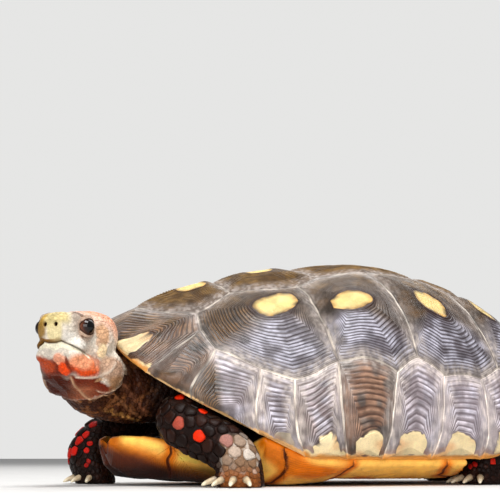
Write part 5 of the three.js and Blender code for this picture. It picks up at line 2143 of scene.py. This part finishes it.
def clip(outline: list, u: float, v: float, reach: float) -> list:
    """The part of a flat outline on the near side of the line u*x + v*y = reach.

    Args:
        outline: corners (x, y) in order.
        u, v: direction square to the line.
        reach: the line's distance, scaled by the direction's length.

    Returns:
        The corners that are left, with new ones on the line.
    """
    kept = []
    for (x0, y0), (x1, y1) in zip(outline, outline[1:] + outline[:1]):
        d0, d1 = u * x0 + v * y0 - reach, u * x1 + v * y1 - reach
        if d0 <= 0:
            kept.append((x0, y0))
        if (d0 < 0 < d1) or (d1 < 0 < d0):
            f = d0 / (d0 - d1)
            kept.append((x0 + f * (x1 - x0), y0 + f * (y1 - y0)))
    return kept


def rounded(outline: list, share: float) -> list:
    """The outline with each corner cut at the share of its sides; short sides are dropped.

    Args:
        outline: corners (x, y) in order.
        share: from 0 to 0.5.

    Returns:
        The new corners.
    """
    corners = []
    for (x0, y0), (x1, y1) in zip(outline, outline[1:] + outline[:1]):
        if math.hypot(x1 - x0, y1 - y0) < 0.12:
            continue
        corners.append((x0 + share * (x1 - x0), y0 + share * (y1 - y0)))
        corners.append((x1 - share * (x1 - x0), y1 - share * (y1 - y0)))
    return corners


# rings of a scale: drawn in from the cell's border by a part in mm and a part of the size; share of the lift
SCALE_RINGS = ((0.05, 0.012, -1.0), (0.1, 0.035, 0.62), (0.13, 0.15, 0.96))


def piled(outlines: list, rows: list, sizes: Array) -> tuple[Array, Array, Array, list]:
    """Closed scales gathered into one mesh, each in a flat frame of its own.

    Args:
        outlines: cell outline of every root.
        rows: roots whose scales are made.
        sizes: scale size of every root.

    Returns:
        Flat places with heights, root numbers and ring numbers of the vertices, and the faces.
    """
    flat, owner, ringed, faces, first = [], [], [], [], 0
    for k in rows:
        outline, size = np.array(outlines[k]), sizes[k]
        sides, middle = len(outline), outline.mean(axis=0)
        half = max(length(outline - middle).mean(), 0.2)
        for ring, (fixed, part, high) in enumerate(SCALE_RINGS):
            shrunk = middle + (outline - middle) * max(1 - (fixed + part * size) / half, 0.15)
            flat.append(np.column_stack([shrunk, np.full(sides, high)]))
            ringed.append(np.full(sides, ring))
        flat.append(np.array([[middle[0] + 0.06 * size, middle[1], 1.08]]))
        ringed.append(np.array([len(SCALE_RINGS)]))
        tip = first + sides * len(SCALE_RINGS)
        owner.append(np.full(tip + 1 - first, k))
        faces.append([first + side for side in reversed(range(sides))])
        faces += ring_faces(len(SCALE_RINGS), sides, first)
        faces += [[tip - sides + side, tip - sides + (side + 1) % sides, tip] for side in range(sides)]
        first = tip + 1
    return np.concatenate(flat), np.concatenate(owner), np.concatenate(ringed), faces


@dataclass(frozen=True)
class ScaleCoat:
    """Solid scales over the skin: cells grown around scattered roots, drawn in, domed and tilted."""

    seed: int = 7
    tries: float = 14.0
    patch: float = 0.0015
    tile_margin: float = 0.04
    # painted shade: each scale darker towards its base, where it meets the skin, and slightly lighter on its
    # shoulder
    ring_shades: tuple = (0.5, 0.86, 1.04, 1.0)

    def field(self, at: Array, out: Array) -> dict:
        """Size, height, lie and stretch of skin at body places.

        Args:
            at: body places on the skin.
            out: outward directions there.

        Returns:
            Arrays: size (0 where no scale grows), lift, lie, ground, round (turn about the limb) and along.
        """
        count = len(at)
        found = {"size": np.zeros(count), "lift": np.zeros(count), "lie": np.zeros((count, 3)),
                 "ground": np.full(count, -1), "round": np.zeros(count), "along": np.zeros(count)}
        best = np.full(count, 1.55)
        for number, ground in enumerate(LIMB_GROUNDS):
            keys, ahead, across, up = LIMBS[ground].path()
            run = np.concatenate([[0], np.cumsum(length(np.diff(keys[:, :3], axis=0)))])
            for first in range(0, count, 20000):
                part = slice(first, first + 20000)
                gap = at[part, None] - keys[None, :, :3]
                far = length(gap)
                row = far.argmin(axis=1)
                share = far[np.arange(len(row)), row] / keys[row, 3:].mean(axis=1)
                here = (share < best[part]) & (row > (3 if ground != "neck" else 0))
                spot = np.arange(count)[part][here]
                row = row[here]
                away = gap[here, row]
                best[spot] = share[here]
                found["ground"][spot] = number
                found["lie"][spot] = ahead[row]
                found["along"][spot] = run[row] / run[-1]
                turn = np.arctan2(np.sum(away * up[row], 1), np.sum(away * across[row], 1))
                found["round"][spot] = turn / (2 * np.pi) + 0.5
        self.sizes(at, out, found)
        self.head_sizes(at, found)
        found["size"][at[:, 2] < 0.5] = 0
        return found

    def sizes(self, at: Array, out: Array, found: dict) -> None:
        """Sets scale sizes on legs, tail and neck.

        Args:
            at: body places.
            out: outward directions there.
            found: the field's arrays, filled in here.
        """
        for number, ground in enumerate(LIMB_GROUNDS):
            here = found["ground"] == number
            along, z = found["along"][here], at[here, 2]
            if ground == "neck":
                found["size"][here], found["lift"][here] = 2.4, 0.09
                found["lie"][here] *= -1
                continue
            if ground == "tail":
                found["size"][here], found["lift"][here] = 3.6 - 1.4 * along, 0.12
                continue
            side = -1.0 if ground.endswith("left") else 1.0
            fore = ground.startswith("fore")
            facing = unit(np.array([-0.8, 0.75 * side, 0.15]) if fore else np.array([0.1, 0.95 * side, 0.1]))
            faced = smooth((out[here] @ facing + 0.15) / 0.7)
            size = (3.4 + 3.4 * faced) if fore else (3.2 + 1.6 * faced)
            foot = fall(z, 9, 9)
            size = size + (2.7 - size) * foot
            size = size + (3.0 - size) * fall(along, 0.12, 0.2)
            found["size"][here] = size
            found["lift"][here] = 0.1 + 0.04 * faced

    def head_sizes(self, at: Array, found: dict) -> None:
        """Sets scale sizes on the head, smallest round the eyes and none on beak, ear and folds.

        Args:
            at: body places.
            found: the field's arrays, filled in here.
        """
        local = HEAD.into(at)
        ahead, left, up = local.T
        side = np.abs(left)
        inside = ahead + 41 - 1.15 * np.maximum(-up - 22, 0) > 0
        close = length(local - HEART) < 46
        here = inside & close
        size = np.full(len(at), 2.2)
        size = size + 1.9 * rise(up, 2.5, 3) * smooth((13 - ahead) / 4) * smooth((ahead + 24) / 6)
        size = size - 0.5 * smooth((-20 - up) / 5)
        for word in (1, -1):
            far, edge = EYE.opening(local, word)
            near = (left * word > 0) & (far < 10)
            size = np.where(near, np.minimum(size, 1.1 + 0.9 * rise(edge, 1.5, 0.8)), size)
            size = np.where(near & (far < 6.0) & (edge < 1.12), 0, size)
            size = np.where(near & (edge < 1.0), 0, size)
        gap = up - HEAD_FORM.mouth(local)
        size = np.where((gap < 3.2) & (gap > -4.6) & (ahead > -4) & (side < 18), 0, size)
        size = np.where((ahead > 13.5) & (up < 3.0), 0, size)
        size = np.where((HEAD_FORM.ear(local) < 0.95) & (side > 12), 0, size)
        for crest in CRESTS:
            size = np.where(crest.share(local) > 0.35, 0, size)
        found["size"] = np.where(here, size, found["size"])
        found["lift"] = np.where(here, 0.07, found["lift"])
        found["ground"] = np.where(here, len(GROUNDS) - 1, found["ground"])
        found["lie"] = np.where(here[:, None], -HEAD.axes()[0], found["lie"])
        around = np.arctan2(local[:, 2] + 12, local[:, 1]) / (2 * np.pi) + 0.5
        found["round"] = np.where(here, around, found["round"])
        found["along"] = np.where(here, np.clip((20 - ahead) / 62, 0, 1), found["along"])

    def scatter(self, skin: Piece) -> tuple[Array, Array, dict]:
        """Random places on the skin with scale-sized gaps: places, outward directions and their field.

        Args:
            skin: the skin.

        Returns:
            Body places, directions, and the field's arrays there.
        """
        rng = np.random.default_rng(self.seed)
        mesh = skin.data
        mesh.calc_loop_triangles()
        corners = read(mesh.loop_triangles, "vertices", np.int32)
        at, out = body_points(skin), normals(skin)
        a, b, c = at[corners[:, 0]], at[corners[:, 1]], at[corners[:, 2]]
        area = length(np.cross(b - a, c - a)) / 2
        middle = (a + b + c) / 3
        rough = self.field(middle, unit(out[corners].mean(axis=1)))
        grown = rough["size"] > 0
        weight = np.where(grown, area / np.maximum(rough["size"], 1) ** 2, 0)
        total = int(weight.sum() * self.tries)
        chosen = rng.choice(len(weight), total, p=weight / weight.sum())
        f, g = rng.random(total), rng.random(total)
        f, g = np.where(f + g > 1, 1 - f, f), np.where(f + g > 1, 1 - g, g)
        h = 1 - f - g
        spots = f[:, None] * a[chosen] + g[:, None] * b[chosen] + h[:, None] * c[chosen]
        ways = unit(f[:, None] * out[corners[chosen, 0]] + g[:, None] * out[corners[chosen, 1]]
                    + h[:, None] * out[corners[chosen, 2]])
        found = self.field(spots, ways)
        size = found["size"]
        tree = tree_of(spots)
        alive, kept = size > 0, []
        for k in range(total):
            if not alive[k]:
                continue
            kept.append(k)
            for _, other, far in tree.find_range(spots[k], 0.9 * size[k]):
                if far < 0.43 * (size[k] + size[other]):
                    alive[other] = False
        kept = np.array(kept)
        return spots[kept], ways[kept], {name: value[kept] for name, value in found.items()}

    def cells(self, at: Array, out: Array, found: dict) -> tuple[list, Array, Array]:
        """Cell outline of each root in its own flat frame.

        Args:
            at: body places of the roots.
            out: outward directions there.
            found: the field's arrays at the roots.

        Returns:
            Outlines as lists of (along the lie, across), and the two directions of each frame.
        """
        lie = found["lie"] - out * np.sum(found["lie"] * out, 1)[:, None]
        lie = unit(lie + 1e-6)
        across = np.cross(out, lie)
        size = found["size"]
        tree = tree_of(at)
        turn = 2 * np.pi * np.arange(10) / 10
        ring = np.stack([np.cos(turn), np.sin(turn)], 1)
        outlines = []
        for k in range(len(at)):
            outline = [tuple(corner) for corner in ring * 0.66 * size[k]]
            for _, other, far in tree.find_range(at[k], 1.7 * size[k]):
                if other == k or out[k] @ out[other] < 0.1:
                    continue
                away = at[other] - at[k]
                u, v = float(away @ lie[k]), float(away @ across[k])
                reach = (u * u + v * v) * size[k] / (size[k] + size[other])
                outline = clip(outline, u, v, reach)
                if len(outline) < 3:
                    break
            outlines.append(rounded(outline, 0.2) if len(outline) > 2 else [])
        return outlines, lie, across

    def build(self, skin: Piece) -> None:
        """Grows the whole coat, one piece for each ground.

        Args:
            skin: the skin that the scales sit on.
        """
        at, out, found = self.scatter(skin)
        outlines, lie, across = self.cells(at, out, found)
        rng = np.random.default_rng(self.seed + 1)
        shade = rng.uniform(0.84, 1.14, len(at))
        tint = SKIN.colours(at)
        tint = SKIN.spots(at, tint, found["ground"])
        surface = BVHTree.FromPolygons([tuple(p) for p in body_points(skin)],
                                       [tuple(face.vertices) for face in skin.data.polygons])
        for number, ground in enumerate(GROUNDS):
            rows = [k for k in np.nonzero(found["ground"] == number)[0] if len(outlines[k]) > 2]
            flat, owner, ringed, faces = piled(outlines, rows, found["size"])
            start = at[owner] + lie[owner] * flat[:, :1] + across[owner] * flat[:, 1:2]
            points = np.array([surface.find_nearest(place)[0] for place in start])
            size = found["size"][owner]
            high = flat[:, 2] * found["lift"][owner] * size
            tilt = 1 + 0.5 * flat[:, 0] / size
            points += out[owner] * np.where(flat[:, 2] > 0, high * tilt, -0.3)[:, None]
            points[:, 2] = np.maximum(points[:, 2], 0.12)
            colour = tint[owner]
            if ground == "head":
                colour = mix(colour, SKIN.colours(points), 0.6)
            # random tone per scale, times the painted shade of its rings
            colour = colour * (shade[owner] * np.array(self.ring_shades)[ringed])[:, None]
            piece = make_piece(f"scales_{ground}", points, faces, colour)
            tile = np.array(divmod(number, 3)[::-1])
            root = np.stack([found["round"][owner], found["along"][owner]], 1)
            uv = (tile + self.tile_margin + (1 - 2 * self.tile_margin) * root) / 3
            set_uv(piece, "OFBake", uv + self.patch * flat[:, :2] / size[:, None])
            piece.data.materials.append(ScaleFinish(f"scale_{ground}").make())
            declare(piece, "head" if ground == "head" else "skin")
            log.info("scales %s: %d scales, %d faces", ground, len(rows), len(faces))


# ---------------------------------------------------------------- studio
@dataclass(frozen=True)
class Studio:
    """Floor, lights and camera."""

    bearing: float = 25.0
    distance: float = 905.0
    aim_x: float = -52.0
    height: float = 18.0
    pitch: float = 8.1
    lens: float = 103.7
    ambient: float = 0.34

    def build(self) -> None:
        """Sets up the floor, the lights and the camera."""
        bpy.ops.object.select_all(action="DESELECT")
        bpy.ops.mesh.primitive_plane_add(size=12)
        floor = bpy.context.object
        floor.name = "floor"
        floor.data.materials.append(FloorFinish().make())
        self.light("key", (-0.2, -0.5, 1.35), 0.6, 17.0)
        self.light("front", (-0.9, -1.5, 0.55), 1.0, 17.0)
        self.light("back", (0.5, 0.8, 1.2), 1.2, 10.0)
        self.backdrop()
        bpy.context.scene.view_settings.view_transform = "Standard"
        self.camera()

    def backdrop(self) -> None:
        """Even surroundings: soft cool light on the animal, a paler wall behind it."""
        world = bpy.data.worlds.new("studio")
        world.use_nodes = True
        nodes, links = world.node_tree.nodes, world.node_tree.links
        soft, wall = nodes["Background"], nodes.new("ShaderNodeBackground")
        soft.inputs["Color"].default_value = (0.97, 0.98, 1.0, 1.0)
        soft.inputs["Strength"].default_value = self.ambient
        wall.inputs["Color"].default_value = (0.93, 0.93, 0.92, 1.0)
        wall.inputs["Strength"].default_value = 0.85
        blend, ray = nodes.new("ShaderNodeMixShader"), nodes.new("ShaderNodeLightPath")
        links.new(ray.outputs["Is Camera Ray"], blend.inputs[0])
        links.new(soft.outputs[0], blend.inputs[1])
        links.new(wall.outputs[0], blend.inputs[2])
        links.new(blend.outputs[0], nodes["World Output"].inputs["Surface"])
        bpy.context.scene.world = world

    def light(self, name: str, place: tuple, size: float, power: float) -> None:
        """A soft square light aimed at the animal.

        Args:
            name: its name.
            place: where it hangs, in metres.
            size: its side in metres.
            power: its power in watts.
        """
        lamp = bpy.data.lights.new(name, "AREA")
        lamp.size, lamp.energy = size, power
        rig = bpy.data.objects.new(name, lamp)
        rig.location = place
        rig.rotation_euler = (Vector((0, 0, 0.06)) - Vector(place)).to_track_quat("-Z", "Y").to_euler()
        bpy.context.scene.collection.objects.link(rig)

    def camera(self) -> None:
        """Camera just over the floor, ahead of the left flank."""
        turn, tip = math.radians(self.bearing), math.radians(self.pitch)
        ahead = Vector((math.sin(turn) * math.cos(tip), math.cos(turn) * math.cos(tip), math.sin(tip)))
        place = np.array([self.aim_x - self.distance * math.sin(turn), -self.distance * math.cos(turn),
                          self.height])
        eye = bpy.data.cameras.new("view")
        eye.lens, eye.clip_start = self.lens, 0.01
        rig = bpy.data.objects.new("view", eye)
        rig.location = Vector((place + ORIGIN) * MM)
        rig.rotation_euler = ahead.to_track_quat("-Z", "Y").to_euler()
        bpy.context.scene.collection.objects.link(rig)
        bpy.context.scene.camera = rig


def main() -> None:
    """Builds the tortoise and its studio."""
    logging.basicConfig(level=logging.INFO, format="%(name)s %(message)s")
    Shell().build()
    skin = Flesh().build()
    EyeBalls().build()
    Claws().build()
    ScaleCoat().build(skin)
    Studio().build()


if __name__ == "__main__":
    main()
